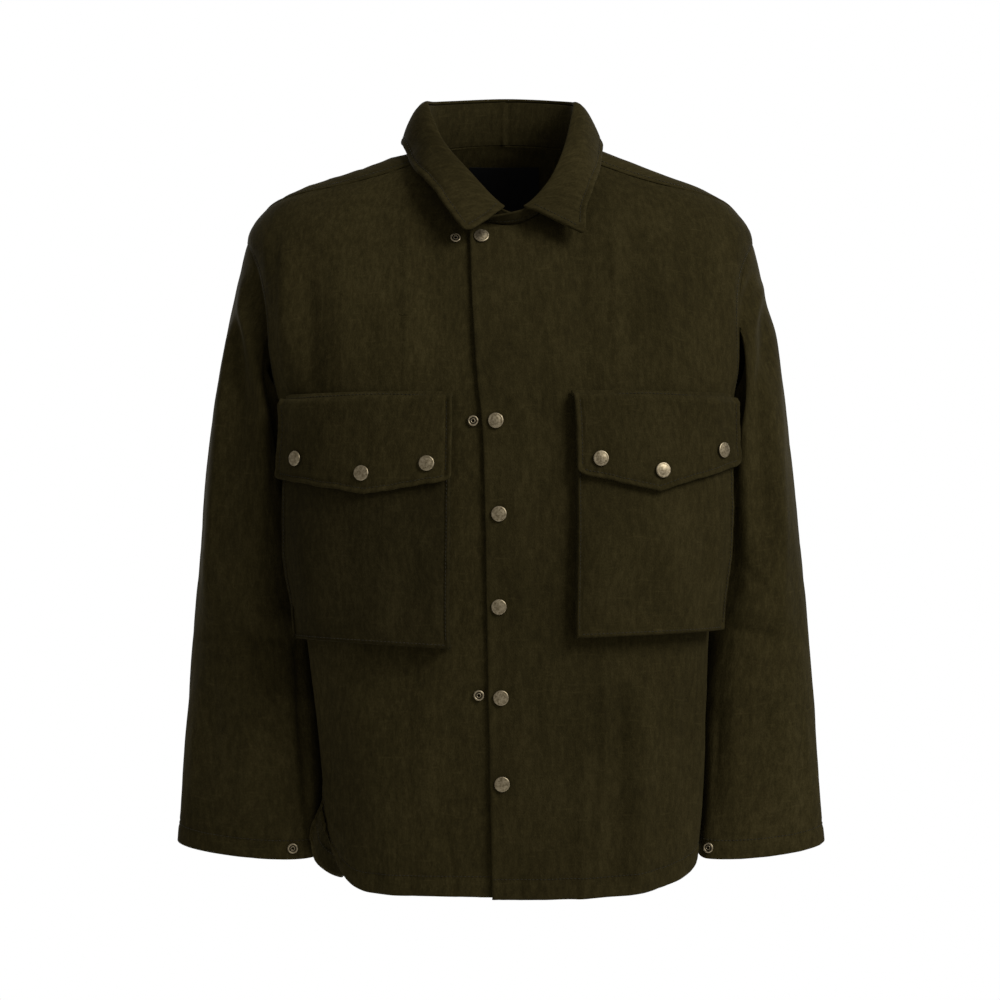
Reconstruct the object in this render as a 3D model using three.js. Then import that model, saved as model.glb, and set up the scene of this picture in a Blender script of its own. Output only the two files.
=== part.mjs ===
// An overshirt (shirt jacket) of thick brushed wool, closed down the front with press snaps, as it
// stands when it is worn: every cloth piece is a wall of its own around the hollow for the wearer.
// Millimetres. +Z up, the front faces -Y, the wearer's left side is at +X. The origin is in the
// middle of the neck opening at the height of the back neck seam, where the wearer's neck holds it.
import * as THREE from "three";

// ---------------------------------------------------------------- driving dimensions
const CLOTH = 2.0; // wall of one layer of the wool
const DOUBLE = 3.0; // wall of a doubled piece: a flap, the collar leaf
const BAND = 2.4; // wall of the collar band
const GAP = 0.3; // between pieces that are sewn to each other
const LAP = 3.4; // how far the top front lies outside the under front
const LAP_TAPER = { from: 40, to: 75 }; // across this x the top front comes back to the body
const UNDERLAP_X = 36; // how far the under front runs on beneath the top front
const ARM = { y: 12, reach: 56 }; // where the arm presses the side of the body in, and how wide
const ARMHOLE = { low: 1.0, high: 1.5, front: 15.5, back: 17 }; // levels; degrees either side of 90
const VENT = { top: 0.215, open: 1.2, flare: { left: 1, right: 16 } }; // level of the top, degrees, how far the back kicks out
// The hem's corners: how far along the hem and how far up each is rounded.
const HEM_ROUND = {
  left: { along: 150, up: 51 }, right: { along: 56, up: 60 }, backLeft: { along: 110, up: 70 }, backRight: { along: 66, up: 52 },
};
const UNDER_SHORTER = 2; // the under front ends this much higher than the top front
const SIDE_SHIFT = 5; // the right sleeve's inner line is nearer the middle, the left's further out
const OUT_SHIFT = 0.8; // and so are their outer lines
const HANG_IN = { s: 0.87, reach: 0.09, by: 6.5 }; // where the right forearm hangs in against the body
const SNAP = { radius: 7.4, height: 2.6, sides: 14 };
const STUD = { radius: 5.2, hole: 2.3, height: 1.6, sides: 12 };

// Rings of the body from the hem (level 0) past the underarm (1) and the shoulder point (1.5) to
// the neck seam (2). frontZ, sideZ and backZ are the ring's heights there, halfWidth, frontY and
// backY its reach from its middle, which stands off to shiftX, corner its squareness, hollow how
// far the arm presses the side in, and seamLeft and seamRight the degrees from the front of the
// side and shoulder seams.
const BODY = [
  { level: 0.0, frontZ: -742, sideZ: -740, backZ: -774, halfWidth: 185, frontY: 129, backY: 120, shiftX: 13, corner: 2.8, hollow: 14, seamLeft: 81, seamRight: 71 },
  { level: 0.2, frontZ: -650, sideZ: -650, backZ: -656, halfWidth: 194.5, frontY: 133, backY: 117, shiftX: 12.5, corner: 2.85, hollow: 20, seamLeft: 82, seamRight: 75 },
  { level: 0.4, frontZ: -560, sideZ: -560, backZ: -561, halfWidth: 199.5, frontY: 137, backY: 117, shiftX: 10, corner: 2.9, hollow: 26, seamLeft: 84, seamRight: 79 },
  { level: 0.6, frontZ: -470, sideZ: -470, backZ: -470, halfWidth: 207, frontY: 140, backY: 120, shiftX: 7, corner: 2.9, hollow: 33, seamLeft: 87, seamRight: 84 },
  { level: 0.8, frontZ: -380, sideZ: -380, backZ: -380, halfWidth: 219, frontY: 141, backY: 125, shiftX: 8, corner: 2.85, hollow: 38, seamLeft: 89, seamRight: 88 },
  { level: 1.0, frontZ: -292, sideZ: -292, backZ: -290, halfWidth: 227, frontY: 139, backY: 129, shiftX: 8, corner: 2.75, hollow: 34, seamLeft: 90, seamRight: 90 },
  { level: 1.25, frontZ: -240, sideZ: -190, backZ: -215, halfWidth: 245, frontY: 133, backY: 131, shiftX: 4, corner: 2.52, hollow: 8, seamLeft: 90, seamRight: 90 },
  { level: 1.5, frontZ: -196, sideZ: -105, backZ: -142, halfWidth: 252, frontY: 120, backY: 125, shiftX: 0, corner: 2.16, hollow: 0, seamLeft: 90, seamRight: 90 },
  { level: 1.65, frontZ: -168, sideZ: -71, backZ: -98, halfWidth: 232, frontY: 108, backY: 112, shiftX: 0, corner: 2.1, hollow: 0, seamLeft: 88, seamRight: 88 },
  { level: 1.75, frontZ: -148, sideZ: -53, backZ: -70, halfWidth: 203, frontY: 98, backY: 97, shiftX: 1, corner: 2.1, hollow: 0, seamLeft: 83, seamRight: 83 },
  { level: 1.85, frontZ: -127, sideZ: -37.5, backZ: -42, halfWidth: 160, frontY: 87, backY: 80, shiftX: 3, corner: 2.08, hollow: 0, seamLeft: 78, seamRight: 78 },
  { level: 1.93, frontZ: -110, sideZ: -22.5, backZ: -20, halfWidth: 119, frontY: 77, backY: 65, shiftX: 5, corner: 2.05, hollow: 0, seamLeft: 74, seamRight: 74 },
  { level: 2.0, frontZ: -96, sideZ: -10, backZ: 0, halfWidth: 86, frontY: 68, backY: 52, shiftX: 6, corner: 2.05, hollow: 0, seamLeft: 70, seamRight: 70 },
];
// The largest folds of the body: soft ridges (+) and troughs (-) that run down the cloth between
// the levels low and high. angle is degrees round from the front, + to the wearer's left, lean how
// far it drifts per level, width its half width in degrees, depth in millimetres.
const BODY_FOLDS = [
  { angle: 60, lean: 0, width: 9, depth: 4, low: 0.95, high: 1.6 },
  { angle: -60, lean: 0, width: 9, depth: 4, low: 0.95, high: 1.6 },
  { angle: 46, lean: 2, width: 5, depth: 4, low: -0.3, high: 0.55 },
  { angle: 27, lean: -4, width: 4, depth: 3, low: -0.3, high: 0.6 },
  { angle: -44, lean: 3, width: 5, depth: 4, low: -0.3, high: 0.5 },
  { angle: 146, lean: 6, width: 9, depth: 7, low: -0.3, high: 1.45 },
  { angle: -146, lean: -6, width: 9, depth: 7, low: -0.3, high: 1.45 },
  { angle: 168, lean: 3, width: 6, depth: -4, low: -0.3, high: 1.2 },
  { angle: -170, lean: -3, width: 6, depth: -4, low: -0.3, high: 1.2 },
];
// The front edge of the top front: how far it lies from the middle plane, by level.
const FRONT_EDGE = [
  { level: 0.0, x: -8 },
  { level: 0.5, x: -12.5 },
  { level: 0.9, x: -16 },
  { level: 1.25, x: -23 },
  { level: 2.0, x: -31 },
];

// Rings of a sleeve from its head (s 0) to its hem (s 1): the outer line (outX, outZ), the inner
// line (inX, inZ), the front and back reach, how far the front hangs below the middle (dip), and
// how far the outer line stands behind the middle of the ring, the inner one before it (skew).
const SLEEVE = [
  { s: 0.0, outX: 253, outZ: -107, inX: 199, inZ: -292, foreY: -61, aftY: 66, dip: 12, skew: 0 },
  { s: 0.08, outX: 264, outZ: -150, inX: 200, inZ: -320, foreY: -63, aftY: 76, dip: 10, skew: 0 },
  { s: 0.2, outX: 277, outZ: -222, inX: 199, inZ: -358, foreY: -64, aftY: 86, dip: 6, skew: 0 },
  { s: 0.35, outX: 290, outZ: -312, inX: 197, inZ: -410, foreY: -62, aftY: 84, dip: 4, skew: 2 },
  { s: 0.5, outX: 300, outZ: -398, inX: 196, inZ: -465, foreY: -59, aftY: 74, dip: 3, skew: 5 },
  { s: 0.65, outX: 307.3, outZ: -486, inX: 189, inZ: -528, foreY: -57, aftY: 58, dip: 3, skew: 9 },
  { s: 0.8, outX: 314.2, outZ: -574, inX: 185, inZ: -594, foreY: -54, aftY: 38, dip: 4, skew: 14 },
  { s: 0.92, outX: 320, outZ: -653, inX: 184, inZ: -662, foreY: -50, aftY: 22, dip: 5.5, skew: 18 },
  { s: 1.0, outX: 323.8, outZ: -703, inX: 185, inZ: -711, foreY: -46, aftY: 14, dip: 6.5, skew: 20 },
];
// The largest folds of the sleeves. angle is degrees round the sleeve from its outer line by the front.
const SLEEVE_FOLDS = [
  { side: 1, angle: 62, lean: 0, width: 14, depth: 4, low: 0.02, high: 0.75 },
  { side: 1, angle: 118, lean: 0, width: 12, depth: -4, low: 0.1, high: 0.6 },
  { side: 1, angle: 285, lean: 20, width: 16, depth: 5, low: 0.05, high: 0.8 },
  { side: -1, angle: 40, lean: 10, width: 13, depth: 5, low: 0.02, high: 0.7 },
  { side: -1, angle: 84, lean: 8, width: 12, depth: -4, low: 0.05, high: 0.5 },
  { side: -1, angle: 290, lean: 20, width: 16, depth: 5, low: 0.05, high: 0.8 },
];
const ELBOW_FOLDS = [
  { s: 0.56, width: 0.03, depth: 4, angle: 150, reach: 70 },
  { s: 0.73, width: 0.025, depth: 3, angle: 120, reach: 80 },
];

// The top of the collar band by degrees round the neck, from the top front's end, round the back,
// to the under front's end. layer is how far its foot lies outside the neck seam.
const STAND = [
  { turn: -24, topX: -28, topY: -81, topZ: -94, layer: 3.6 },
  { turn: -10, topX: -10, topY: -82, topZ: -88, layer: 3.6 },
  { turn: 2, topX: 7, topY: -82, topZ: -85, layer: 3.6 },
  { turn: 12, topX: 24, topY: -79, topZ: -80, layer: 3.6 },
  { turn: 34, topX: 53, topY: -68, topZ: -48, layer: 1.4 },
  { turn: 62, topX: 69, topY: -42, topZ: -5, layer: 0 },
  { turn: 90, topX: 76, topY: -6, topZ: 31, layer: 0 },
  { turn: 120, topX: 74, topY: 27, topZ: 35.5, layer: 0 },
  { turn: 150, topX: 46, topY: 50, topZ: 41, layer: 0 },
  { turn: 180, topX: 6, topY: 58, topZ: 43.5, layer: 0 },
  { turn: 210, topX: -34, topY: 50, topZ: 41, layer: 0 },
  { turn: 240, topX: -66, topY: 27, topZ: 36, layer: 0 },
  { turn: 270, topX: -74, topY: -4, topZ: 32, layer: 0 },
  { turn: 300, topX: -60, topY: -42, topZ: -8, layer: 0 },
  { turn: 326, topX: -31, topY: -66, topZ: -46, layer: 0 },
  { turn: 351, topX: 3, topY: -76, topZ: -80, layer: 0 },
  { turn: 376, topX: 26, topY: -72, topZ: -88, layer: 0 },
];
// The outer edge of the collar leaf over the same degrees, and how far the leaf bows out.
const LEAF = [
  { turn: 12, edgeX: 83, edgeY: -99, edgeZ: -110, bow: 2 },
  { turn: 26, edgeX: 84, edgeY: -87, edgeZ: -86, bow: 4 },
  { turn: 44, edgeX: 91, edgeY: -69, edgeZ: -60, bow: 6 },
  { turn: 66, edgeX: 99, edgeY: -38, edgeZ: -34.5, bow: 8 },
  { turn: 90, edgeX: 103, edgeY: -2, edgeZ: -8.5, bow: 9 },
  { turn: 120, edgeX: 94, edgeY: 44, edgeZ: -10, bow: 9 },
  { turn: 150, edgeX: 58, edgeY: 71, edgeZ: -20, bow: 9 },
  { turn: 180, edgeX: 6, edgeY: 80, edgeZ: -22, bow: 9 },
  { turn: 210, edgeX: -48, edgeY: 71, edgeZ: -20, bow: 9 },
  { turn: 240, edgeX: -86, edgeY: 44, edgeZ: -10, bow: 9 },
  { turn: 270, edgeX: -99, edgeY: -2, edgeZ: -6.5, bow: 9 },
  { turn: 296, edgeX: -86, edgeY: -38, edgeZ: -32.5, bow: 8 },
  { turn: 318, edgeX: -66, edgeY: -68, edgeZ: -58, bow: 6 },
  { turn: 337, edgeX: -49, edgeY: -87, edgeZ: -86, bow: 4 },
  { turn: 351, edgeX: -33, edgeY: -100, edgeZ: -110, bow: 2 },
];

// The bellows pockets and their flaps: inner and outer edges in degrees round from the front,
// heights at the inner and the outer end, and the depth of the gusset at the mouth and the foot.
const POCKETS = [
  { name: "left", side: 1, inner: 24.8, outer: 69.3, topZ: -272, innerFootZ: -492, outerFootZ: -486, mouth: 8, foot: 17, round: 0.07 },
  { name: "right", side: -1, inner: 21.5, outer: 69.5, topZ: -272, innerFootZ: -502, outerFootZ: -492, mouth: 8, foot: 19, round: 0.07 },
];
const FLAPS = [
  { name: "left", side: 1, inner: 24.4, outerTop: 69.4, outer: 70.6, topZ: -258, innerZ: -337, pointZ: -354, outerZ: -327 },
  { name: "right", side: -1, inner: 20.6, outerTop: 68.6, outer: 70.6, topZ: -259, innerZ: -344, pointZ: -357, outerZ: -341 },
];
const GUSSET_STEP = 3.0; // how far a pocket's side leans out over the depth of the gusset

// Snap caps down the top front, from the neck to the hem.
const FRONT_SNAPS = [
  { x: -18, z: -108 },
  { x: -4, z: -287 },
  { x: -1, z: -375 },
  { x: -1, z: -463 },
  { x: 1, z: -549 },
  { x: 2, z: -631 },
];
const FRONT_STUDS = [
  { x: -43, z: -108 },
  { x: -25.5, z: -287 },
  { x: -20, z: -547 },
];
const FLAP_SNAPS = [
  { across: 0.165, down: 0.77 },
  { across: 0.52, down: 0.8 },
  { across: 0.865, down: 0.73 },
];
const CUFF_STUDS = { angle: { left: 143, right: 131 }, s: 0.982 };
const LABEL = { width: 72, height: 48, below: 20, wall: 0.9 };

// How finely the cloth is drawn.
const GRID = { low: 10, armhole: 10, front: 11, back: 20, sleeve: 17, collar: 30 };

const COLOURS = { cloth: 0x2b2512, cloth_top: 0x2d2713, label: 0x0c0c0d, brass: 0x6b6250 };

// ---------------------------------------------------------------- small helpers
const DEG = Math.PI / 180;
const clamp = (v, lo, hi) => Math.min(hi, Math.max(lo, v));
const smooth = (t) => { const k = clamp(t, 0, 1); return k * k * (3 - 2 * k); };
const mix = (a, b, t) => a + (b - a) * t;
const vec = (x, y, z) => new THREE.Vector3(x, y, z);

// A smooth curve through one column of a table that never overshoots a row.
const slopeCache = new Map();
function read(table, key, at, column) {
  let columns = slopeCache.get(table);
  if (!columns) slopeCache.set(table, (columns = {}));
  if (!columns[column]) {
    const step = table.slice(1).map((row, i) => (row[column] - table[i][column]) / (row[key] - table[i][key]));
    columns[column] = table.map((row, i) => {
      if (i === 0) return step[0];
      if (i === table.length - 1) return step[i - 1];
      return step[i - 1] * step[i] <= 0 ? 0 : (2 * step[i - 1] * step[i]) / (step[i - 1] + step[i]);
    });
  }
  const slope = columns[column];
  const last = table.length - 1;
  if (at <= table[0][key]) return table[0][column] + slope[0] * (at - table[0][key]);
  if (at >= table[last][key]) return table[last][column] + slope[last] * (at - table[last][key]);
  let i = 0;
  while (at > table[i + 1][key]) i += 1;
  const span = table[i + 1][key] - table[i][key];
  const t = (at - table[i][key]) / span;
  const t2 = t * t, t3 = t2 * t;
  return (2 * t3 - 3 * t2 + 1) * table[i][column] + (t3 - 2 * t2 + t) * span * slope[i]
    + (3 * t2 - 2 * t3) * table[i + 1][column] + (t3 - t2) * span * slope[i + 1];
}

// The outward normal of a surface given by two numbers; flip turns it round.
function normalOf(surface, a, b, da, db, flip = 1) {
  const alongA = surface(a + da, b).sub(surface(a - da, b));
  const alongB = surface(a, b + db).sub(surface(a, b - db));
  return alongA.cross(alongB).normalize().multiplyScalar(flip);
}

// A closed wall between an outer and an inner grid of points; wrap joins the last column to the first.
function wall(outer, inner, wrap = false) {
  const rows = outer.length, cols = outer[0].length;
  const position = [];
  for (const grid of [outer, inner]) for (const row of grid) for (const p of row) position.push(p.x, p.y, p.z);
  const at = (layer, r, c) => layer * rows * cols + r * cols + (c % cols);
  const index = [];
  const quad = (a, b, c, d) => index.push(a, b, c, a, c, d);
  const across = wrap ? cols : cols - 1;
  for (let r = 0; r < rows - 1; r += 1) {
    for (let c = 0; c < across; c += 1) {
      quad(at(0, r, c), at(0, r, c + 1), at(0, r + 1, c + 1), at(0, r + 1, c));
      quad(at(1, r, c), at(1, r + 1, c), at(1, r + 1, c + 1), at(1, r, c + 1));
    }
  }
  for (let c = 0; c < across; c += 1) {
    quad(at(0, 0, c + 1), at(0, 0, c), at(1, 0, c), at(1, 0, c + 1));
    quad(at(0, rows - 1, c), at(0, rows - 1, c + 1), at(1, rows - 1, c + 1), at(1, rows - 1, c));
  }
  if (!wrap) {
    for (let r = 0; r < rows - 1; r += 1) {
      quad(at(0, r, 0), at(0, r + 1, 0), at(1, r + 1, 0), at(1, r, 0));
      quad(at(0, r + 1, cols - 1), at(0, r, cols - 1), at(1, r, cols - 1), at(1, r + 1, cols - 1));
    }
  }
  const geometry = new THREE.BufferGeometry();
  geometry.setAttribute("position", new THREE.Float32BufferAttribute(position, 3));
  geometry.setIndex(index);
  let volume = 0;
  const v = (i) => vec(position[3 * i], position[3 * i + 1], position[3 * i + 2]);
  for (let i = 0; i < index.length; i += 3) volume += v(index[i]).dot(v(index[i + 1]).cross(v(index[i + 2])));
  if (volume < 0) geometry.setIndex(index.reverse());
  geometry.computeVertexNormals();
  return geometry;
}

// ---------------------------------------------------------------- the body
const ring = (level, column) => read(BODY, "level", level, column);

function bodyShape(turn, level) {
  const c = Math.cos(turn * DEG), s = Math.sin(turn * DEG);
  const front = c >= 0;
  const reach = ring(level, front ? "frontY" : "backY");
  const half = ring(level, "halfWidth");
  const n = ring(level, "corner");
  const r = Math.pow(Math.pow(Math.abs(s) / half, n) + Math.pow(Math.abs(c) / reach, n), -1 / n);
  const y = -r * c;
  const toEnd = Math.pow(Math.abs(y) / reach, n);
  const z = mix(ring(level, "sideZ"), ring(level, front ? "frontZ" : "backZ"), toEnd);
  const press = ring(level, "hollow") * Math.exp(-Math.pow((y - ARM.y) / ARM.reach, 4));
  return vec(r * s - Math.sign(s) * press + ring(level, "shiftX"), y, z);
}

function foldHeight(folds, angle, along) {
  let height = 0;
  for (const f of folds) {
    const away = angle - f.angle - f.lean * (along - (f.low + f.high) / 2);
    const turn = away - 360 * Math.round(away / 360);
    const reach = smooth((along - f.low) / (0.3 * (f.high - f.low))) * smooth((f.high - along) / (0.3 * (f.high - f.low)));
    height += f.depth * reach * Math.exp(-Math.pow(turn / f.width, 2));
  }
  return height;
}

function bodyPoint(turn, level) {
  const out = normalOf(bodyShape, turn, level, 0.2, 0.004);
  return bodyShape(turn, level).addScaledVector(out, foldHeight(BODY_FOLDS, turn, level));
}
const bodyNormal = (turn, level) => normalOf(bodyPoint, turn, level, 0.4, 0.006);
const bodyOut = (turn, level, off) => bodyPoint(turn, level).addScaledVector(bodyNormal(turn, level), off);

// The level where the body's cloth passes a height, at one angle.
function levelAt(turn, z) {
  let low = -0.2, high = 2;
  for (let i = 0; i < 40; i += 1) {
    const middle = (low + high) / 2;
    if (bodyShape(turn, middle).z < z) low = middle; else high = middle;
  }
  return (low + high) / 2;
}
// The angle at which the front of a ring passes a distance from the middle plane.
function turnAtX(x, level) {
  let low = -60, high = 60;
  for (let i = 0; i < 40; i += 1) {
    const middle = (low + high) / 2;
    if (bodyShape(middle, level).x < x) low = middle; else high = middle;
  }
  return (low + high) / 2;
}
function onFront(x, z) {
  let turn = turnAtX(x, 1);
  for (let i = 0; i < 12; i += 1) turn = turnAtX(x, levelAt(turn, z));
  return { turn, level: levelAt(turn, z) };
}
// Angles that cut a stretch of a ring into equal lengths.
function spread(level, from, to, count) {
  const steps = 48;
  const lengths = [0];
  let before = bodyShape(from, level);
  for (let i = 1; i <= steps; i += 1) {
    const here = bodyShape(mix(from, to, i / steps), level);
    lengths.push(lengths[i - 1] + here.distanceTo(before));
    before = here;
  }
  const angles = [];
  let i = 0;
  for (let k = 0; k <= count; k += 1) {
    const want = (lengths[steps] * k) / count;
    while (i < steps - 1 && lengths[i + 1] < want) i += 1;
    const part = clamp((want - lengths[i]) / (lengths[i + 1] - lengths[i]), 0, 1);
    angles.push(mix(from, to, (i + part) / steps));
  }
  return angles;
}

// The rows of every body panel, by level.
const levels = [];
for (let i = 0; i < GRID.low; i += 1) levels.push(Math.pow(i / GRID.low, 0.92));
for (let i = 0; i <= GRID.armhole; i += 1) {
  levels.push(mix(ARMHOLE.low, ARMHOLE.high, (1 - Math.cos((i / GRID.armhole) * Math.PI)) / 2));
}
levels.push(1.58, 1.65, 1.71, 1.77, 1.83, 1.88, 1.93, 1.965, 2.0);

function armholeWidth(level) {
  const middle = (ARMHOLE.low + ARMHOLE.high) / 2, half = (ARMHOLE.high - ARMHOLE.low) / 2;
  const t = (level - middle) / half;
  return Math.abs(t) >= 1 ? 0 : Math.sqrt(1 - t * t);
}
// Degrees that half the seam gap takes up at the side of a ring.
const gapTurn = (level) => (GAP / 2 + 0.1) / (ring(level, "halfWidth") * DEG);

// The edge of a front (or of the back) at the side, the armhole or the shoulder.
function sideEdge(level, side, isBack) {
  const sign = isBack ? 1 : -1;
  const seam = ring(level, side > 0 ? "seamLeft" : "seamRight") + sign * gapTurn(level);
  if (level < VENT.top) {
    return seam + sign * VENT.open * smooth((VENT.top - level) / VENT.top);
  }
  return seam + sign * armholeWidth(level) * (isBack ? ARMHOLE.back : ARMHOLE.front);
}

// How far the hem is cut away at an angle, as a level, so that its corner is round.
function hemLevel(fromEdge, round) {
  if (fromEdge >= round.along) return 0;
  const part = 1 - fromEdge / round.along;
  return (round.up * (1 - Math.sqrt(Math.max(0, 1 - part * part)))) / 450;
}
function onHem(level, hem) {
  return level < 0.2 ? hem + (level / 0.2) * (0.2 - hem) : level;
}

// How far the top front stands out beyond the body, by its distance from the middle plane.
const lapOut = (x) => LAP * smooth((LAP_TAPER.to - x) / (LAP_TAPER.to - LAP_TAPER.from));

function frontPanel(side) {
  const top = side > 0;
  const outer = [], inner = [];
  for (const level of levels) {
    const edgeX = top ? read(FRONT_EDGE, "level", level, "x") : UNDERLAP_X;
    const from = turnAtX(edgeX, level);
    const to = side * sideEdge(level, side, false);
    const rowOut = [], rowIn = [];
    const angles = spread(level, from, to, GRID.front);
    const end = bodyShape(to, level);
    for (const turn of angles) {
      const round = top ? HEM_ROUND.left : HEM_ROUND.right;
      const cut = hemLevel(bodyShape(turn, level).distanceTo(end), round) + (top ? 0 : UNDER_SHORTER / 450);
      const here = onHem(level, cut);
      const off = top ? lapOut(bodyShape(turn, here).x) : 0;
      rowOut.push(bodyOut(turn, here, off));
      rowIn.push(bodyOut(turn, here, off - CLOTH));
    }
    outer.push(rowOut);
    inner.push(rowIn);
  }
  return wall(outer, inner);
}

function backPanel() {
  const outer = [], inner = [];
  for (const level of levels) {
    const from = sideEdge(level, 1, true), to = 360 - sideEdge(level, -1, true);
    const rowOut = [], rowIn = [];
    const first = bodyShape(from, level), last = bodyShape(to, level);
    for (const turn of spread(level, from, to, GRID.back)) {
      const p = bodyShape(turn, level);
      const isLeft = p.distanceTo(first) < p.distanceTo(last);
      const fromEdge = Math.min(p.distanceTo(first), p.distanceTo(last));
      const here = onHem(level, hemLevel(fromEdge, isLeft ? HEM_ROUND.backLeft : HEM_ROUND.backRight));
      const kick = (isLeft ? VENT.flare.left : VENT.flare.right) * smooth((VENT.top - level) / VENT.top) * smooth(1 - fromEdge / 60);
      rowOut.push(bodyOut(turn, here, kick));
      rowIn.push(bodyOut(turn, here, kick - CLOTH));
    }
    outer.push(rowOut);
    inner.push(rowIn);
  }
  return wall(outer, inner);
}

// ---------------------------------------------------------------- the sleeves
// How far the body reaches out to one side, at a height and a distance forward or back.
function bodyReach(side, y, z) {
  let low = -0.1, high = ARMHOLE.high;
  const reachOf = (level) => ring(level, y < 0 ? "frontY" : "backY");
  const toEnd = (level) => Math.min(1, Math.pow(Math.abs(y) / reachOf(level), ring(level, "corner")));
  for (let i = 0; i < 30; i += 1) {
    const middle = (low + high) / 2;
    const height = mix(ring(middle, "sideZ"), ring(middle, y < 0 ? "frontZ" : "backZ"), toEnd(middle));
    if (height < z) low = middle; else high = middle;
  }
  const level = (low + high) / 2;
  const out = ring(level, "halfWidth") * Math.pow(1 - toEnd(level), 1 / ring(level, "corner"));
  const press = ring(level, "hollow") * Math.exp(-Math.pow((y - ARM.y) / ARM.reach, 4));
  return out - press + side * ring(level, "shiftX");
}

// The armhole's edge at an angle round the sleeve, moved across the seam into the armhole.
function armholePoint(side, angle) {
  const c = Math.cos(angle * DEG), s = Math.sin(angle * DEG);
  const width = s > 0 ? ARMHOLE.front : ARMHOLE.back;
  const middle = (ARMHOLE.low + ARMHOLE.high) / 2, half = (ARMHOLE.high - ARMHOLE.low) / 2;
  const turn = side * (90 - width * s), level = middle + half * c;
  const edge = bodyPoint(turn, level);
  const into = bodyPoint(side * (90 - width * s * 0.9), middle + half * c * 0.9).sub(edge).normalize();
  return edge.addScaledVector(into, 0.8).addScaledVector(bodyNormal(turn, level), 0.3 + 0.9 * (1 - c));
}

function sleeveRow(s) {
  const row = {};
  for (const name of Object.keys(SLEEVE[0])) row[name] = read(SLEEVE, "s", s, name);
  return row;
}
function sleeveRing(side, angle, s) {
  const row = sleeveRow(s);
  const c = Math.cos(angle * DEG), f = Math.sin(angle * DEG);
  const hang = side < 0 ? HANG_IN.by * Math.exp(-Math.pow((s - HANG_IN.s) / HANG_IN.reach, 2)) : 0;
  const inX = row.inX + side * SIDE_SHIFT * smooth(s / 0.5) - hang;
  const outX = row.outX + side * OUT_SHIFT * smooth(s / 0.4);
  const midX = (outX + inX) / 2, midY = (row.foreY + row.aftY) / 2, midZ = (row.outZ + row.inZ) / 2;
  return vec(
    side * (midX + (c * (outX - inX)) / 2),
    midY + c * row.skew - (f * (row.aftY - row.foreY)) / 2,
    midZ + (c * (row.outZ - row.inZ)) / 2 - f * row.dip,
  );
}
const sleeveStart = new Map();
function sleeveShape(side, angle, s) {
  const key = side * 1000 + angle;
  if (!sleeveStart.has(key)) sleeveStart.set(key, armholePoint(side, angle).sub(sleeveRing(side, angle, 0)));
  const p = sleeveRing(side, angle, s).addScaledVector(sleeveStart.get(key), 1 - smooth(s / 0.28));
  const clear = mix(0.6, 3.2, smooth(s / 0.12));
  const limit = bodyReach(side, p.y, p.z) + clear;
  const x = side * p.x, soft = 5 * smooth(s / 0.1) + 0.01;
  // a soft maximum: where the arm would run into the body, the sleeve lies along it
  p.x = side * (limit + soft * Math.log(1 + Math.exp(clamp((x - limit) / soft, -30, 30))));
  if ((x - limit) / soft > 30) p.x = side * x;
  return p;
}
function sleevePoint(side, angle, s) {
  const surface = (a, b) => sleeveShape(side, a, b);
  const out = normalOf(surface, angle, s, 1.5, 0.004, side);
  let height = foldHeight(SLEEVE_FOLDS.filter((f) => f.side === side), angle, s);
  for (const f of ELBOW_FOLDS) {
    const turn = angle - f.angle - 360 * Math.round((angle - f.angle) / 360);
    height += f.depth * Math.exp(-Math.pow((s - f.s) / f.width, 2)) * Math.exp(-Math.pow(turn / f.reach, 4));
  }
  const nearBody = smooth((side * surface(angle, s).x - bodyReach(side, surface(angle, s).y, surface(angle, s).z) - 4) / 10);
  return surface(angle, s).addScaledVector(out, height * nearBody);
}
const sleeveNormal = (side, angle, s) => normalOf((a, b) => sleevePoint(side, a, b), angle, s, 3, 0.006, side);

function sleeve(side) {
  const outer = [], inner = [];
  const count = GRID.armhole * 2;
  for (let i = 0; i <= GRID.sleeve; i += 1) {
    const s = Math.pow(i / GRID.sleeve, 1.15);
    const rowOut = [], rowIn = [];
    for (let k = 0; k < count; k += 1) {
      const angle = (360 * k) / count;
      const p = sleevePoint(side, angle, s);
      rowOut.push(p);
      rowIn.push(p.clone().addScaledVector(sleeveNormal(side, angle, s), -CLOTH));
    }
    outer.push(rowOut);
    inner.push(rowIn);
  }
  return wall(outer, inner, true);
}

// ---------------------------------------------------------------- the collar
function standPoint(turn, up) {
  const rise = bodyPoint(turn, 2).sub(bodyPoint(turn, 1.99)).normalize();
  const out = bodyNormal(turn, 2);
  const foot = bodyPoint(turn, 2).addScaledVector(rise, 0.7).addScaledVector(out, read(STAND, "turn", turn, "layer"));
  const top = vec(...["topX", "topY", "topZ"].map((name) => read(STAND, "turn", turn, name)));
  const p = foot.lerp(top, up);
  const away = vec(Math.sin(turn * DEG), -Math.cos(turn * DEG), 0);
  return p.addScaledVector(away, -3 * Math.sin(up * Math.PI) * smooth((turn - 20) / 60) * smooth((340 - turn) / 60));
}
const standNormal = (turn, up) => normalOf(standPoint, turn, up, 1, 0.02);

function collarStand() {
  const outer = [], inner = [];
  for (const up of [0, 0.33, 0.67, 1]) {
    const rowOut = [], rowIn = [];
    for (let k = 0; k <= GRID.collar + 4; k += 1) {
      const turn = mix(STAND[0].turn, STAND[STAND.length - 1].turn, k / (GRID.collar + 4));
      const p = standPoint(turn, up);
      rowOut.push(p);
      rowIn.push(p.clone().addScaledVector(standNormal(turn, up), -BAND));
    }
    outer.push(rowOut);
    inner.push(rowIn);
  }
  return wall(outer, inner);
}

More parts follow.
